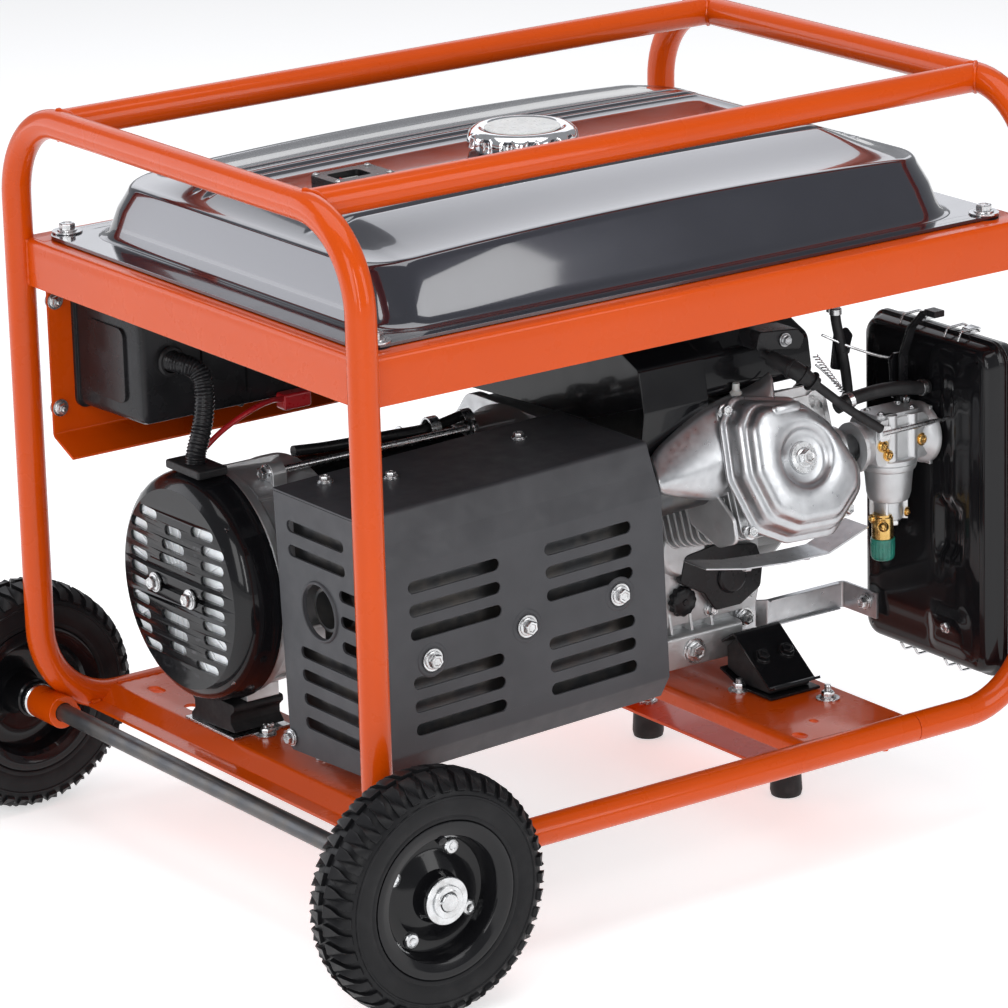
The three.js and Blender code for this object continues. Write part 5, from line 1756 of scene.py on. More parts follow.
def make_recoil_fittings():
    guide = Shape().at(facing((280, *ROPE_EXIT), (1, 0, 0)))
    guide.lathe([(13.8, 4.4), (13.8, 9), (16, 10), (17.6, 9), (18, 7), (17, 4.6), (16, 4.3)], 30)
    guide.show("rope_guide", "chrome")
    bolts = Shape()
    for k in range(6):
        u, v = round_point(96, math.radians(20 + 60 * k))
        bolts.hex_bolt((RECOIL_START + 5, CRANK.y + u, CRANK.z + v), (1, 0, 0), 8, 5, 0)
    bolts.show("recoil_bolts", "bolt_zinc", bevel=0.2)


def make_starter_grip():
    """Grip with a waist in its middle, and the rope behind it."""
    grip = Shape().at(Matrix.Translation((307, *ROPE_EXIT)) @ Matrix.Rotation(math.radians(45), 4, "X"))
    half, steps = 47, 32
    rings = []
    for i in range(steps + 1):
        along = -half + 2 * half * i / steps
        end = math.sqrt(max(0.0, 1 - (along / (half + 0.01)) ** 6))
        size = max(9.0 * end - 0.9 * math.cos(along * 0.55) ** 8, 0.3)
        rings.append([(u, v * 0.92, along) for u, v in circle(size, 24)])
    grip.skin(rings)
    grip.show("starter_grip", "black_plastic", "starter_handle", sharp=60, stands_for=["recoil_handle"])
    length, steps = 92, 59
    rope = Shape().at(facing((212, *ROPE_EXIT), (1, 0, 0)))
    lay = [(u, v) for u, v, _ in wavy_ring(2.4, 0.25, 6, 0, 24)]
    rope.sweep([(0, 0, length * i / steps) for i in range(steps + 1)], lay)
    rope.show("starter_rope", "white_plastic", "starter_handle", sharp=80)


def make_engine_mounts():
    near = [(-66, 14), (-66, 34), (-80, 45), (-126, 11), (-126, 5), (-94, 5)]
    far = [(212.5, 2), (212.5, 44), (226, 54), (243, 34), (243, 2)]
    for name, outline, radii in (("muffler_side", near, [2, 3, 6, 4, 2, 2]),
                                 ("panel_side", far, [2, 3, 6, 6, 2])):
        block = Shape().prism(rounded_loop(outline, radii, 4), 157, 201, "X")
        block.show(f"engine_mount_{name}", "mount_rubber", bevel=1.4, segments=3,
                   stands_for=[f"rubber_mount_{name}"])


def make_mount_plates():
    """Sheets over and under the near mount, with two bolts."""
    cheeks = Shape()
    top = flat_bend([(-62.6, 38), (-79, 49), (-129, 10.5), (-137, 14)], 4, 4)
    add_folded(cheeks, top, (154, 204), 2.4)
    add_folded(cheeks, flat_bend([(-62, 14), (-92, 3.4), (-134, 3.4)], 6, 4), (152, 206), 2.4)
    for x in (166, 192):
        cheeks.hex_bolt((x, -104, 31.2), (0, -0.61, 0.79), 10, 5, 8)
    cheeks.show("engine_mount_plates", "black_paint", bevel=0.5)


def make_dipstick():
    """Cap with a wavy edge on its threaded stem."""
    dipstick = Shape().at(FILLER_AXIS)
    foot = span("oil_dipstick")[0].y
    # Place along the stem, radius, and depth of the waves.
    rows = [(-45.6, 12, 0), (-46, 12.8, 0.3), (-48, 13, 0.9), (-56, 13, 0.9), (-58, 12.4, 0.4), (-59, 10.5, 0),
            (-59, 3, 0), (-64.5, 2.4, 0), (-65, 0.3, 0)]
    rings = [wavy_ring(radius, wave, 12, max(y, foot), 72) for y, radius, wave in rows]
    dipstick.skin(rings)
    dipstick.rod(-45.6, -14, 5.9, 24)
    dipstick.show("dipstick_cap", "black_plastic", "oil_dipstick", sharp=50, stands_for=["oil_dipstick"])


# ------------------------------------------------------------------ carburettor and air filter
INTAKE = (-160, 222)


SOLENOID_AXIS = about_z(252, INTAKE[0] - 4)


def make_carburettor():
    """Flange, throat, body with its posts, float bowl and drain boss."""
    y, z = INTAKE
    body = Shape().at(about_x(y + 12, z - 1))
    body.lathe([(208.4, 9), (208.4, 19), (213, 19), (215, 14), (228, 13), (228, 9)], 40)
    body.at(about_x(y, z))
    body.lathe([(221, 12), (221, 22), (225, 22), (227, 18.5), (238, 17), (284, 18), (291, 23), (295, 26.5),
                (299.4, 27), (299.4, 20), (296, 17), (280, 12)], 56)
    body.at(Matrix())
    block = [(236, 206), (290, 206), (292, 214), (292, 240), (286, 246), (240, 246), (234, 240), (234, 212)]
    body.prism(rounded_loop(block, [4, 4, 4, 6, 6, 6, 6, 4], 5), y - 18, y + 18, "Y")
    body.prism(rectangle((240, 286), (y - 15, y + 15), 6), 245, 249)
    body.at(about_z(252, y - 15)).rod(206, 249, 6, 24)
    body.at(about_z(274, y - 15)).rod(206, 247, 6, 24)
    flange = rounded_loop([(296.5, 196), (299.4, 196), (299.4, 248), (296.5, 248)], 0.4, 2)
    body.at(Matrix()).prism(flange, y - 14, y + 14, "Y")
    body.at(about_z(262, y))
    body.lathe([(168.6, 0), (168.6, 15), (170, 17.5), (176, 19.4), (190, 20.6), (197, 21.6), (198, 23.4),
                (201, 24.4), (203, 24.6), (203.4, 23.8), (204, 24.8), (207.6, 24.8), (209, 23), (209, 0)], 64)
    body.lathe([(152, 0), (152, 11.4), (153, 12.8), (166, 13), (169.5, 13), (169.5, 0)], 40)
    for turn in range(4):
        body.at(about_z(262, y) @ turned(math.radians(45 + 90 * turn)))
        body.prism([(11, -1.2), (16.5, -1.2), (16.5, 1.2), (11, 1.2)], 152, 172)
    body.show("carburettor_body", "cast_aluminium", bevel=0.7, segments=2, sharp=36, stands_for=["carburettor"])


def make_carburettor_hardware():
    """Choke shaft, throttle rods, return spring and screws."""
    y = INTAKE[0]
    metal = Shape()
    metal.sweep([(238, y - 20.5, 236), (303, y - 20.5, 236)], circle(2.4, 16))
    metal.prism(rounded_loop([(236, 229), (246, 229), (248, 241), (234, 243)], 2, 3), y - 21.4, y - 18.4, "Y")
    throttle_rod = [(216, -128, 316), (240, -134, 303), (270, -140, 290), (292, -144, 284)]
    metal.sweep(smooth_path(throttle_rod, 6), circle(1.2, 10))
    link_rod = [(244, -132, 250), (240, -126, 262), (228, -122, 276), (216, -119, 288)]
    metal.sweep(smooth_path(link_rod, 6), circle(1.0, 10))
    spring, coils, steps = [], 16, 139
    for i in range(steps + 1):
        t = i / steps
        u, v = round_point(2.6, 2 * math.pi * coils * t)
        spring.append((242 - 26 * t + u, -130 + 12 * t + v, 256 + 40 * t))
    metal.sweep(spring, circle(0.5, 6))
    for x in (246, 280):
        metal.screw((x, y - 9, 249), (0, 0, 1), 3.2)
        metal.screw((x, y + 9, 249), (0, 0, 1), 3.2)
    metal.hex_bolt((262, y - 6, 152.2), (0, 0, -1), 9, 5, 0)
    metal.show("carburettor_hardware", "bolt_zinc", bevel=0.15)


def make_carburettor_brass():
    """Jets and screws, and the body of the fuel solenoid."""
    y = INTAKE[0]
    brass = Shape()
    for x, height in ((241, 224), (247, 215), (284, 222)):
        brass.screw((x, y - 18, height), (0, -1, 0), 4.4, 5.6)
    brass.at(SOLENOID_AXIS)
    brass.lathe([(136.6, 0), (136.6, 8.6), (137.4, 9.4), (156, 9.4), (157, 8.6), (158.6, 8.6), (158.6, 0)], 40)
    brass.at(Matrix()).screw((246, y - 12, 150), (-0.5, -0.85, 0), 4.6, 5.2)
    brass.screw((236.5, y - 9, 158), (-1, 0, 0), 3.2, 4.2)
    brass.screw((272, y - 12, 158), (0.3, -1, 0), 3.2, 4.2)
    brass.show("carburettor_brass", "brass", bevel=0.2)


def make_solenoid_cap():
    # Height, radius, and depth of the waves.
    rows = [(118, 0.3, 0), (118, 8.4, 0), (119, 9.4, 0.1), (121.4, 10, 0.35), (132, 10.4, 0.35), (134, 10.6, 0),
            (136.8, 10.6, 0), (137.2, 9.6, 0), (137.2, 0.3, 0)]
    cap = Shape().at(SOLENOID_AXIS).skin([wavy_ring(radius, wave, 20, z, 80) for z, radius, wave in rows])
    cap.show("solenoid_cap", "green_plastic", sharp=50)


def make_linkage():
    """Choke link plate and throttle bracket beside the throat."""
    linkage = Shape()
    link = [(278, 252), (298, 252), (298, 286), (292, 292), (280, 292), (276, 286)]
    linkage.prism(rounded_loop(link, 3, 4), -147, -143.5, "Y")
    bracket = [(226, 284), (240, 280), (250, 310), (244, 318), (230, 314)]
    linkage.prism(rounded_loop(bracket, 3, 4), -128, -125.6, "Y")
    linkage.hex_bolt((238, -128, 300), (0, -1, 0), 8, 5, 6)
    linkage.show("linkage_plates", "black_paint", bevel=0.4)


def make_choke_lever():
    x, z = 287, 252
    arm = Shape()
    path = bend([(x, -150, z), (286, -151, 290), (285, -164, 318), (285, -182, 336), (285, -198, 336)], 7, 5)
    arm.sweep(path, rectangle((-1.3, 1.3), (-4.6, 4.6), 0.6, 3), up=(1, 0, 0))
    arm.block((279.5, 290.5), (-201, -187), (334, 339.5))
    boss = [(-154, 0), (-154, 5), (-153, 6.2), (-147.2, 6.2), (-146.4, 5.4), (-146.4, 0)]
    arm.at(about_y(x, z)).lathe(boss, 28)
    arm.show("choke_arm", "black_plastic", "choke_lever", bevel=0.5, stands_for=["choke_lever"])
    pin = Shape().screw((x, -154.1, z), (0, -1, 0), 3.6)
    pin.show("choke_screw", "bolt_zinc", "choke_lever")


def make_governor_arm():
    arm = Shape()
    outline = [(-57, 308), (-60, 298), (-70, 297), (-118, 290), (-121, 292), (-121, 298), (-118, 300),
               (-72, 309), (-64, 313)]
    holes = [circle(2, 14, (-114, 295)), circle(2, 14, (-102, 297.5))]
    arm.plate(rounded_loop(outline, 2, 3), holes, 206, 208.4, "X")
    arm.at(about_x(-64, 306)).lathe([(205.5, 0), (205.5, 7), (206, 8), (209, 8), (209.4, 7.4), (209.4, 0)], 28)
    arm.at(Matrix()).hex_bolt((209.2, -64, 306), (1, 0, 0), 8, 5.5, 0)
    arm.show("governor_plate", "zinc_steel", "governor_arm", bevel=0.3, stands_for=["governor_arm"])


def bump(value, centre, half, soft):
    return smoothstep((half - abs(value - centre)) / soft + 0.5)


BOX_LOW, BOX_HIGH = span("air_filter_base")
BOX_CENTRE = ((BOX_LOW.y + BOX_HIGH.y) / 2, (BOX_LOW.z + BOX_HIGH.z) / 2)
LID_END = span("air_filter_cover")[1].x


def box_outline(inset, radius):
    y = (BOX_LOW.y + inset, BOX_HIGH.y - inset)
    z = (BOX_LOW.z + inset, BOX_HIGH.z - inset)
    return rectangle(y, z, radius, 8)


def inner_face(y, z):
    """Pressed face towards the engine: a raised field with a pocket and a foot."""
    field = bump(y, -150, 58, 16) * bump(z, 170, 118, 18)
    ridge = bump(y, -212, 14, 12) * bump(z, 190, 84, 30)
    pocket = bump(y, -192, 17, 8) * bump(z, 140, 22, 10)
    foot = bump(y, -192, 24, 14) * bump(z, 48, 16, 12)
    channel = bump(y, -178, 3, 7) * bump(z, 190, 90, 18)
    return (304.2 - 1.6 * field - 3.0 * ridge + 6.5 * pocket - 3.2 * foot + 2.6 * channel, y, z)


def outer_face(y, z):
    """Face of the lid: a raised panel crossed by ribs."""
    panel = bump(y, BOX_CENTRE[0], 62, 10) * bump(z, BOX_CENTRE[1], 122, 10)
    rib = sum(bump(z, centre, 5, 6) for centre in (92, 132, 172, 212, 252)) * bump(y, BOX_CENTRE[0], 48, 10)
    return (LID_END - 1.4 - 1.8 * panel + 1.6 * rib, y, z)


def make_box_half(rows, face, name, node):
    """Half of the air box: rows of (x, inset, corner radius), closed by a pressed face."""
    shape = Shape()
    shape.skin([[(x, y, z) for y, z in box_outline(inset, radius)] for x, inset, radius in rows], caps=False)
    _, inset, radius = rows[-1]
    half = (BOX_HIGH - BOX_LOW) / 2
    reach = (half.y - inset, half.z - inset)
    count = 46
    lines = [-1 + 2 * i / count for i in range(count + 1)]
    grid = {}
    for a in lines:
        for b in lines:
            u, v = rim_point(a, b, reach, radius)
            grid[a, b] = shape.vert(face(BOX_CENTRE[0] + u, BOX_CENTRE[1] + v))
    for a, a2 in zip(lines, lines[1:]):
        for b, b2 in zip(lines, lines[1:]):
            shape.face((grid[a, b], grid[a2, b], grid[a2, b2], grid[a, b2]))
    shape.show(name, "black_paint", sharp=60, stands_for=[node])


def make_air_box():
    back = [(321.9, 1.5, 17), (321.9, -0.6, 19), (320.4, -1.2, 19.5), (318.8, -0.6, 19), (318.2, 1.8, 17),
            (316, 2.6, 16.5), (309, 4.2, 16), (306.4, 6, 15), (304.8, 9, 14), (304.2, 12.5, 13)]
    make_box_half(back, inner_face, "air_box_back", "air_filter_base")
    lid = [(322.3, 1.5, 17), (322.3, -0.6, 19), (323.8, -1.2, 19.5), (325.4, -0.6, 19), (326, 1.4, 17),
           (330, 2.2, 16.5), (338, 3.6, 16), (342, 6, 15), (343.4, 9, 14), (343.6, 12.5, 13)]
    make_box_half(lid, outer_face, "air_box_lid", "air_filter_cover")
    seal = Shape().prism(box_outline(1.2, 17), 321.9, 322.3, "X")
    seal.show("air_box_seal", "mount_rubber")


def make_air_box_fittings():
    """Two wire latches, each with a loop at the top and at the bottom, and two screws."""
    latches = Shape()
    wire = circle(1.15, 10)
    for y in (-186, -127):
        top, bottom = BOX_HIGH.z + 2.4, BOX_LOW.z - 2.4
        loop = [(310, y - 9, top - 6), (314, y - 9, top + 1.5), (332, y - 9, top + 2), (338, y - 5, top - 3),
                (338, y + 5, top - 3), (332, y + 9, top + 2), (314, y + 9, top + 1.5), (310, y + 9, top - 6)]
        latches.sweep(bend(loop, 3, 4), wire)
        tab = [(326, top - 2.6), (337, top - 3.4), (339, top + 1), (328, top + 0.4)]
        latches.prism(rounded_loop(tab, 0.8, 2), y - 6, y + 6, "Y")
        loop = [(310, y - 9, bottom + 6), (314, y - 9, bottom - 1), (332, y - 9, bottom - 1.4),
                (338, y, bottom + 3), (332, y + 9, bottom - 1.4), (314, y + 9, bottom - 1),
                (310, y + 9, bottom + 6)]
        latches.sweep(bend(loop, 3, 4), wire)
    latches.show("air_box_latches", "bolt_zinc", sharp=50)
    screws = Shape()
    screws.hex_bolt((303.2, -190, 52), (-1, 0, 0), 8, 4.5, 7)
    screws.hex_bolt((303.6, -110, 228), (-1, 0, 0), 8, 4.5, 7)
    screws.show("air_box_screws", "bolt_zinc", bevel=0.2)


def make_filter_strap():
    """Bent strap from the crankcase to the air box, with two stiffening ribs and its bolts."""
    strap = Shape()
    path = flat_bend([(181, -47), (203, -47), (212, -52.5), (298, -52.5), (298, -100)], 4, 5)
    stations = unroll(path)
    holes = [circle(3.4, 18, (49, stations[-1] - 16)), circle(3.4, 18, (49, 9))]
    add_folded(strap, path, (37, 61), 2.8, holes, point=lambda a, b, w: (a, b, w))
    for z in (37.6, 60.4):
        strap.prism(rectangle((213, 291), (-58, -53), 0.6, 2), z - 0.7, z + 0.7)
    strap.show("filter_strap", "zinc_steel", bevel=0.4, stands_for=["strap_bracket"])
    bolts = Shape()
    bolts.hex_bolt((296.4, -86, 50), (-1, 0, 0), 9, 5.5, 8)
    bolts.hex_bolt((190, -49, 49), (0, -1, 0), 10, 6, 9)
    bolts.stud_nut((190, -44.4, 49), (0, 1, 0), 10, 5, 4, 8.5)
    bolts.show("strap_bolts", "bolt_zinc", bevel=0.2)


# ------------------------------------------------------------------ control panel
SOCKET_X = (-168, -84)
SOCKET_Z = 318
LID_HINGE = about_x(264.4, SOCKET_Z + 36)
PANEL_BACK, PANEL_FRONT = 242.8, 246.8
METER, KEY_HOLE, BREAKER, EARTH = (-274, 344), (-274, 290), (-226, 290), (-40, 290)


def make_control_box():
    """Moulded box with ribs on its back and underside, and the gland of the conduit."""
    low, high = span("control_box")
    rings = []
    for y, inset, radius in ((high.y, 0, 9), (high.y - 4, 0, 9), (high.y - 4.6, 2.4, 8), (low.y + 6, 4.4, 8),
                             (low.y + 2, 5.6, 7), (low.y + 0.4, 8, 6), (low.y, 11, 5)):
        outline = rectangle((low.x + inset, high.x - inset), (low.z + inset, high.z - inset), radius, 6)
        rings.append([(x, y, z) for x, z in outline])
    body = Shape().skin(rings)
    under = [(low.y + 8, low.z + 1.6), (high.y - 8, low.z + 0.2), (high.y - 8, low.z + 6),
             (low.y + 8, low.z + 6)]
    back = [(low.y - 0.1, low.z + 16), (low.y + 3, low.z + 16), (low.y + 3, high.z - 16),
            (low.y - 0.1, high.z - 16)]
    for x in (-240, -196, -152, -108, -64):
        body.prism(rounded_loop(under, 1, 2), x - 1.5, x + 1.5, "X")
        body.prism(rounded_loop(back, 0.5, 2), x - 1.5, x + 1.5, "X")
    end = rectangle((low.y + 22, high.y - 24), (low.z + 20, high.z - 20), 8, 6)
    body.prism(end, low.x + 1.2, low.x + 5, "X")
    body.show("control_housing", "black_plastic", bevel=0.9, segments=3, stands_for=["control_box"])
    gland = Shape().at(about_y(-272, 327))
    gland.lathe([(136.9, 10), (134.6, 12.5), (132, 13), (130.4, 11.6), (130.4, 9.8)], 36)
    gland.lathe([(138.5, 9.6), (138.5, 15), (136.9, 15), (136.4, 9.8)], 36)
    gland.show("cable_gland", "mount_rubber")



def make_panel_face():
    """Plate with its holes, the socket rims and the frame of the meter."""
    low, high = span("control_panel")
    front = PANEL_FRONT
    face = Shape()
    holes = [circle(19, 36, METER), circle(7.6, 24, BREAKER),
             *[circle(22, 40, (x, SOCKET_Z)) for x in SOCKET_X]]
    face.plate(rectangle((low.x, high.x), (low.z, high.z), 6, 5), holes, PANEL_BACK, front, "Y")
    rim = [(front - 1, 22), (front - 1, 31), (front + 1.4, 31), (front + 2.4, 28.6), (262, 27.6), (262, 22.4),
           (258, 20.6), (front + 2.6, 20.2), (front - 1, 20.2)]
    for x in SOCKET_X:
        face.at(about_y(x, SOCKET_Z)).lathe(rim, 48).rod(front + 0.4, front + 2.2, 20.6, 40)
    face.at(Matrix()).plate(rectangle((-212, -40), (274, 280), 2, 3), [], front - 0.5, front + 1.2, "Y")
    surround = rectangle((-302, -246), (306, 375), 5, 4)
    face.plate(surround, [circle(19.5, 36, METER)], front - 0.4, front + 1.4, "Y")
    face.show("panel_face", "black_paint", bevel=0.8, segments=3, sharp=36, stands_for=["control_panel"])


def make_socket_contacts():
    """Two flat contacts and an earth pin in each socket."""
    front = PANEL_FRONT
    contacts = Shape()
    for x in SOCKET_X:
        for side in (-1, 1):
            contacts.at(about_y(x + side * 9.5, SOCKET_Z)).tube(front + 2.0, front + 4, 1.8, 3.4, 20)
        pin = [(front + 2, 0), (front + 2, 2.4), (front + 11, 2.4), (front + 12, 1.6), (front + 12, 0)]
        contacts.at(about_y(x, SOCKET_Z + 11)).lathe(pin, 20)
    contacts.show("socket_contacts", "brass")


def make_meter():
    """Dial, then its tick marks, needle, hub and bezel."""
    level, ticks = 244.2, 13
    Shape().at(about_y(*METER)).rod(243.4, level, 19, 40).show("meter_dial", "white_plastic")
    marks = Shape()
    for i in range(ticks):
        turn = math.radians(210 - 20 * i)
        u, v = round_point(14, turn)
        half = 2.6 if i % 3 == 0 else 1.5
        marks.at(facing((METER[0] + u, level, METER[1] + v), (0, 1, 0)) @ turned(-turn))
        marks.block((-half, half), (-0.35, 0.35), (0, 0.5))
    needle = [(-0.9, -5), (0.9, -5), (7.6, 12.5), (7.2, 12.8)]
    marks.at(Matrix()).prism([(METER[0] + u, METER[1] + v) for u, v in needle], 245.2, 245.8, "Y")
    marks.at(about_y(*METER)).lathe([(244, 0), (244, 3), (246.6, 2.6), (247, 0)], 24)
    bezel = [(0.6, 18.4), (0.6, 21.2), (3, 21.4), (4, 20.2), (3.4, 18.4)]
    marks.lathe([(PANEL_FRONT + a, r) for a, r in bezel], 48)
    marks.show("meter_needle_and_bezel", "black_plastic")


def make_panel_hardware():
    """Panel and socket screws, the collars of breaker and key, and the earth terminal."""
    low, high = span("control_panel")
    front = PANEL_FRONT
    metal = Shape()
    for x in (low.x + 8, high.x - 8):
        for z in (low.z + 7, high.z - 7):
            metal.screw((x, front, z), (0, 1, 0), 4.2, 5.4)
    for x in SOCKET_X:
        for side in (-1, 1):
            metal.screw((x + side * 24.5, front + 1.6, SOCKET_Z - 15), (0, 1, 0), 2.4)
    collar = [(front - 0.5, 7.7), (front - 0.5, 11.5), (front + 1.6, 11.5), (front + 2.6, 10),
              (front + 2.6, 7.7)]
    metal.at(about_y(*BREAKER)).lathe(collar, 32).tube(front, front + 0.8, 11.6, 13.6, 32)
    collar = [(front - 0.4, 9.6), (front - 0.4, 13), (front + 1.4, 13), (front + 2.4, 11.4), (front + 2.4, 9.6)]
    metal.at(about_y(*KEY_HOLE)).lathe(collar, 36)
    stud = [(front, 0), (front, 9), (front + 2, 9), (front + 2.6, 8), (front + 2.6, 3.6), (front + 14, 3.4),
            (front + 15, 2.4), (front + 15, 0)]
    metal.at(about_y(*EARTH)).lathe(stud, 28)
    metal.at(Matrix()).hex_bolt((EARTH[0], front + 5, EARTH[1]), (0, 1, 0), 11, 6, 0)
    metal.show("panel_hardware", "bolt_zinc", bevel=0.15)


def make_key_and_button():
    front = PANEL_FRONT
    key = Shape().at(about_y(*KEY_HOLE))
    barrel = [(0.5, 0), (0.5, 8.6), (1, 9), (7.4, 9), (8.2, 8.2), (8.2, 0)]
    key.lathe([(front + a, r) for a, r in barrel], 36)
    bow = [(254, -4), (258, -9), (270.6, -8), (270.6, 8), (258, 9), (254, 4)]
    key.at(Matrix.Translation((KEY_HOLE[0], 0, KEY_HOLE[1])))
    key.prism(rounded_loop(bow, [1, 4, 4, 4, 4, 1], 4), -1.4, 1.4, "X")
    key.show("key", "bolt_zinc", "ignition_key", bevel=0.3, stands_for=["ignition_key"])
    button = Shape().at(about_y(*BREAKER))
    dome = [(front + 7, 6.9), (front + 7.8, 6.2), (front + 8.2, 4.4), (front + 7.7, 0)]
    button.lathe([(236.2, 0), (236.2, 6.9), *dome], 36)
    button.show("reset_button", "red_plastic", "breaker_button", stands_for=["breaker_button"])


def make_socket_lid(number, x):
    """Lid with a dished front, a thumb tab, two hinge knuckles and five ribs."""
    outline = rectangle((x - 31, x + 31), (SOCKET_Z - 31, SOCKET_Z + 33), 10, 6)
    rings = []
    for y, scale in ((262.5, 0.97), (263, 1.0), (265, 1.0), (266.2, 0.975), (266.6, 0.94), (266.4, 0.86),
                     (265.4, 0.82), (265.2, 0.7), (265.4, 0.02)):
        rings.append([(u, y, v) for u, v in scaled(outline, (x, SOCKET_Z + 1), scale)])
    lid = Shape().skin(rings)
    lid.prism(rectangle((x - 12, x + 12), (SOCKET_Z - 35, SOCKET_Z - 29), 2.5, 4), 263, 266.2, "Y")
    web = [(262.6, SOCKET_Z + 30), (266.2, SOCKET_Z + 30), (266.6, SOCKET_Z + 36), (262.4, SOCKET_Z + 36)]
    for middle_x in (x - 14, x + 14):
        lid.at(LID_HINGE).tube(middle_x - 5, middle_x + 5, 1.6, 4, 24)
        lid.at(Matrix()).prism(web, middle_x - 5, middle_x + 5, "X")
    for k in range(5):
        foot = SOCKET_Z - 17 + k * 8
        lid.prism(rectangle((x - 14, x + 14), (foot, foot + 3), 1.4, 3), 265, 266.2, "Y")
    name = f"socket_lid_{number}"
    lid.show(f"socket_cover_{number}", "black_plastic", name, bevel=0.4, stands_for=[name])


def make_socket_lids():
    for number, x in enumerate(SOCKET_X, 1):
        make_socket_lid(number, x)
    hinge = Shape()
    leaf = [(PANEL_FRONT, SOCKET_Z + 33.4), (262, SOCKET_Z + 32.4), (267, SOCKET_Z + 34), (267, SOCKET_Z + 39),
            (PANEL_FRONT, SOCKET_Z + 40)]
    for x in SOCKET_X:
        hinge.at(LID_HINGE).rod(x - 21, x + 21, 1.5, 16).at(Matrix())
        for leaf_x in (x - 20.5, x, x + 20.5):
            hinge.prism(rounded_loop(leaf, [0.4, 1, 2.6, 2.6, 0.4], 3), leaf_x - 1.2, leaf_x + 1.2, "X")
    hinge.show("socket_hinges", "bolt_zinc", bevel=0.2)


# ------------------------------------------------------------------ hoses and leads
FUEL_RUN = ((229, -130, 336), (230, -130, 325), (238, -130, 290), (242, -130, 264), (242, -130, 253))
BREATHER_RUN = ((203, -163, 262), (222, -164, 267), (252, -166, 269), (276, -168, 267), (289, -168, 264.5),
                (299, -168, 264))
CONDUIT_RUN = ((-272, 136.2, 327), (-271.5, 126, 327.5), (-262, 108, 322), (-262, 99, 304), (-268, 95, 278),
               (-277, 92, 256), (-277, 92, 243))
STARTER_RUN = ((-268, 112, 241.5), (-258, 108, 254), (-240, 105, 268), (-212, 106, 279), (-186, 116, 280),
               (-164, 128, 275))
PLUG_RUN = ((136, -148, 318), (150, -178, 306), (168, -186, 290), (195, -188, 268), (229, -190, 244))


def ribbed_hose(run, radius):
    path = smooth_path(run, 26)
    waves = (len(path) - 1) * math.pi / 1.6
    return Shape().sweep(path, circle(radius, 28), scale=lambda t: 0.93 + 0.07 * math.cos(t * waves))


def make_cords():
    runs = (("fuel_line", FUEL_RUN, 4.5, "mount_rubber", "fuel_hose", "medium"),
            ("breather_line", BREATHER_RUN, 6.0, "mount_rubber", "breather_hose", "medium"),
            ("conduit_line", CONDUIT_RUN, 9.0, "black_plastic", "conduit", "stiff"),
            ("starter_line", STARTER_RUN, 2.4, "red_plastic", "starter_lead", "limp"),
            ("plug_line", PLUG_RUN, 4.0, "mount_rubber", "spark_plug_lead", "medium"))
    for name, run, radius, look, node, stiffness in runs:
        path = smooth_path(run, 8)
        shape = ribbed_hose(run, radius) if node == "conduit" else Shape().sweep(path, circle(radius, 20))
        made = shape.show(name, look, sharp=80, stands_for=[node])


def make_plug_cap():
    ends = Shape()
    cap = smooth_path(((138, -154, 316), (150, -178, 306), (164, -185, 294)), 6)
    ends.sweep(cap, circle(8, 24), scale=lambda t: 0.8 + 0.2 * math.sin(math.pi * min(1, t * 1.3)))
    for i in (4, 7, 10):
        ends.sweep([cap[i], cap[i] + (cap[i + 1] - cap[i]) * 0.6], circle(8.9, 24))
    ends.show("plug_cap", "mount_rubber", bevel=0.4, sharp=60)


def make_terminal_boot():
    boot = Shape().block((-168, -140), (122, 136.6), (266, 280))
    boot.show("terminal_boot", "red_plastic", bevel=2.4, segments=4)


def make_hose_clips():
    clips = Shape()
    for run, radius, spots in ((FUEL_RUN, 4.5, (1, -5)), (BREATHER_RUN, 6.0, (6, -6))):
        path = smooth_path(run, 8)
        for spot in spots:
            direction = (path[spot + 1] - path[spot]).normalized()
            clips.at(facing(path[spot], direction))
            clips.tube(-2.4, 2.4, radius + 0.1, radius + 1, 28)
            clips.block((radius, radius + 6), (-1.6, -0.6), (-2.4, 2.4))
            clips.block((radius, radius + 6), (0.6, 1.6), (-2.4, 2.4))
    clips.at(Matrix()).show("hose_clips", "bolt_zinc", bevel=0.2)


# ------------------------------------------------------------------ camera, light and floor
CAMERA = {"turn": (-35.4418, 17.174, -1.4571), "place": (-2521, -3541, 1516), "lens": 190.2,
          "shift": (-0.0272, 0.0068)}


def make_camera():
    """Camera of the photograph, from its azimuth, elevation and roll in degrees."""
    azimuth, elevation, roll = (math.radians(a) for a in CAMERA["turn"])
    back = Vector((math.sin(azimuth) * math.cos(elevation), -math.cos(azimuth) * math.cos(elevation),
                   math.sin(elevation)))
    right = Vector((math.cos(azimuth), math.sin(azimuth), 0))
    up = back.cross(right)
    turned_right = right * math.cos(roll) + up * math.sin(roll)
    turned_up = up * math.cos(roll) - right * math.sin(roll)
    data = bpy.data.cameras.new("camera")
    data.sensor_width = 36
    data.lens = CAMERA["lens"]
    data.shift_x, data.shift_y = CAMERA["shift"]
    data.clip_end = 200
    made = bpy.data.objects.new("camera", data)
    bpy.context.scene.collection.objects.link(made)
    turn = Matrix((turned_right, turned_up, back)).transposed().to_4x4()
    made.matrix_world = Matrix.Translation(ORIGIN + Vector(CAMERA["place"]) * MM) @ turn
    bpy.context.scene.camera = made


def area_light(name, where, target, size, power, color=(1, 1, 1)):
    data = bpy.data.lights.new(name, "AREA")
    data.shape = "RECTANGLE"
    data.size, data.size_y = size
    data.energy = power
    data.color = color
    made = bpy.data.objects.new(name, data)
    made.location = where
    made.rotation_euler = (Vector(target) - Vector(where)).to_track_quat("-Z", "Y").to_euler()
    made.visible_camera = False
    bpy.context.scene.collection.objects.link(made)


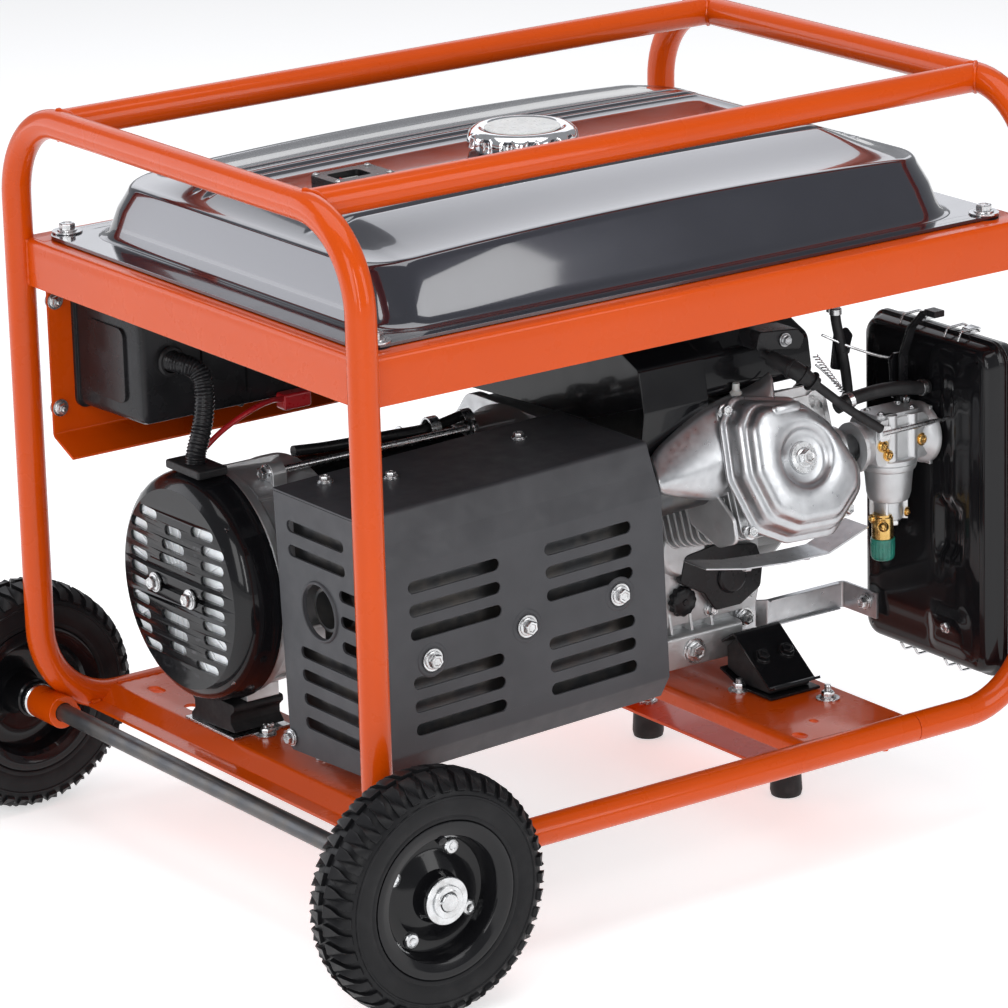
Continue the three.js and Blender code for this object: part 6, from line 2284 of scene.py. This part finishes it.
def make_studio():
    scene = bpy.context.scene
    scene.view_settings.view_transform = "Standard"
    scene.view_settings.look = "None"
    world = bpy.data.worlds.new("studio")
    world.use_nodes = True
    background = world.node_tree.nodes["Background"]
    background.inputs["Color"].default_value = (0.93, 0.95, 1.0, 1)
    background.inputs["Strength"].default_value = 0.34
    scene.world = world
    area_light("top_box", (-0.2, -0.2, 2.4), (0, 0, 0.3), (2.2, 1.6), 25)
    area_light("end_box", (-1.95, 2.05, 1.1), (-0.3, 0, 0.55), (1.7, 2.0), 24, (0.94, 0.95, 1.0))
    area_light("tank_strip", (-1.5, -2.2, 1.15), (0, -0.1, 0.5), (0.25, 1.6), 10)
    area_light("front_strip", (-2.4, -1.6, 1.5), (0, 0, 0.35), (0.9, 2.0), 20)
    area_light("side_strip", (1.2, -2.8, 1.5), (0.1, 0, 0.35), (1.2, 1.8), 22)
    area_light("back_box", (1.5, 2.5, 1.9), (0, 0, 0.4), (3.4, 1.5), 18, (0.94, 0.95, 1.0))
    mesh = bpy.data.meshes.new("floor")
    mesh.from_pydata([(-60, -60, 0), (60, -60, 0), (60, 60, 0), (-60, 60, 0)], [], [(0, 1, 2, 3)])
    floor = bpy.data.objects.new("floor", mesh)
    scene.collection.objects.link(floor)
    look = Look("floor", (0.78, 0.78, 0.78), 0.6)
    look.rough(look.noise(0.4, 3), 0.55, 0.7)
    look.uniform(Emission_Color=(1, 1, 1, 1), Emission_Strength=0.56, Specular_IOR_Level=0.2)
    mesh.materials.append(look.material)


def dress_cad_nodes():
    """Every node that still shows gets its slot's finish, rounded edges and smooth shading."""
    for name, made in frame["nodes"].items():
        made.data.materials.clear()
        made.data.materials.append(LOOKS[SLOTS[name]].material)
        for polygon in made.data.polygons:
            polygon.use_smooth = True
        made.modifiers.new("weld", "WELD").merge_threshold = NODE_MERGE * MM
        edge_bevel(made, 0.5, 2, 34)
        made.modifiers["edges"].harden_normals = False
        split = made.modifiers.new("corners", "EDGE_SPLIT")
        split.split_angle = math.radians(36)


# ------------------------------------------------------------------ making
make_camera()
make_studio()
MAKERS = (
    make_cords, make_plug_cap, make_terminal_boot, make_hose_clips,
    make_hoops, make_top_bars, make_frame_welds, make_belt, make_panel_bracket,
    make_alternator_plate, make_engine_plate, make_foot_bracket, make_base_fixings, make_feet,
    make_wheels, make_axle,
    make_tank_shell, make_tank_base, make_tank_fixings, make_gauge, make_filler, make_fuel_tap,
    make_guard_front, make_guard_end, make_guard_rims, make_guard_bolts, make_guard_lining, make_guard_seats,
    make_muffler,
    make_alternator_cover, make_alternator_screws, make_alternator_screen,
    make_end_bracket, make_through_bolts, make_stator, make_stator_loom, make_alternator_mount,
    make_valve_cover, make_head,
    make_engine_block, make_oil_filler, make_crankcase_side, make_cylinder_fins, make_crankcase_bolts,
    make_blower_housing, make_starter_motor, make_starter_solenoid, make_starter_studs,
    make_cylinder_cowl, make_side_plate, make_air_guide, make_governor_cover,
    make_shroud, make_shroud_fittings, make_coil,
    make_recoil_housing, make_recoil_fittings, make_starter_grip,
    make_engine_mounts, make_mount_plates, make_dipstick,
    make_carburettor, make_carburettor_hardware, make_carburettor_brass, make_solenoid_cap, make_linkage,
    make_choke_lever, make_governor_arm,
    make_air_box, make_air_box_fittings, make_filter_strap,
    make_control_box, make_panel_face, make_socket_contacts, make_meter,
    make_panel_hardware, make_key_and_button, make_socket_lids,
)
for maker in MAKERS:
    maker()
dress_cad_nodes()

bpy.context.view_layer.update()
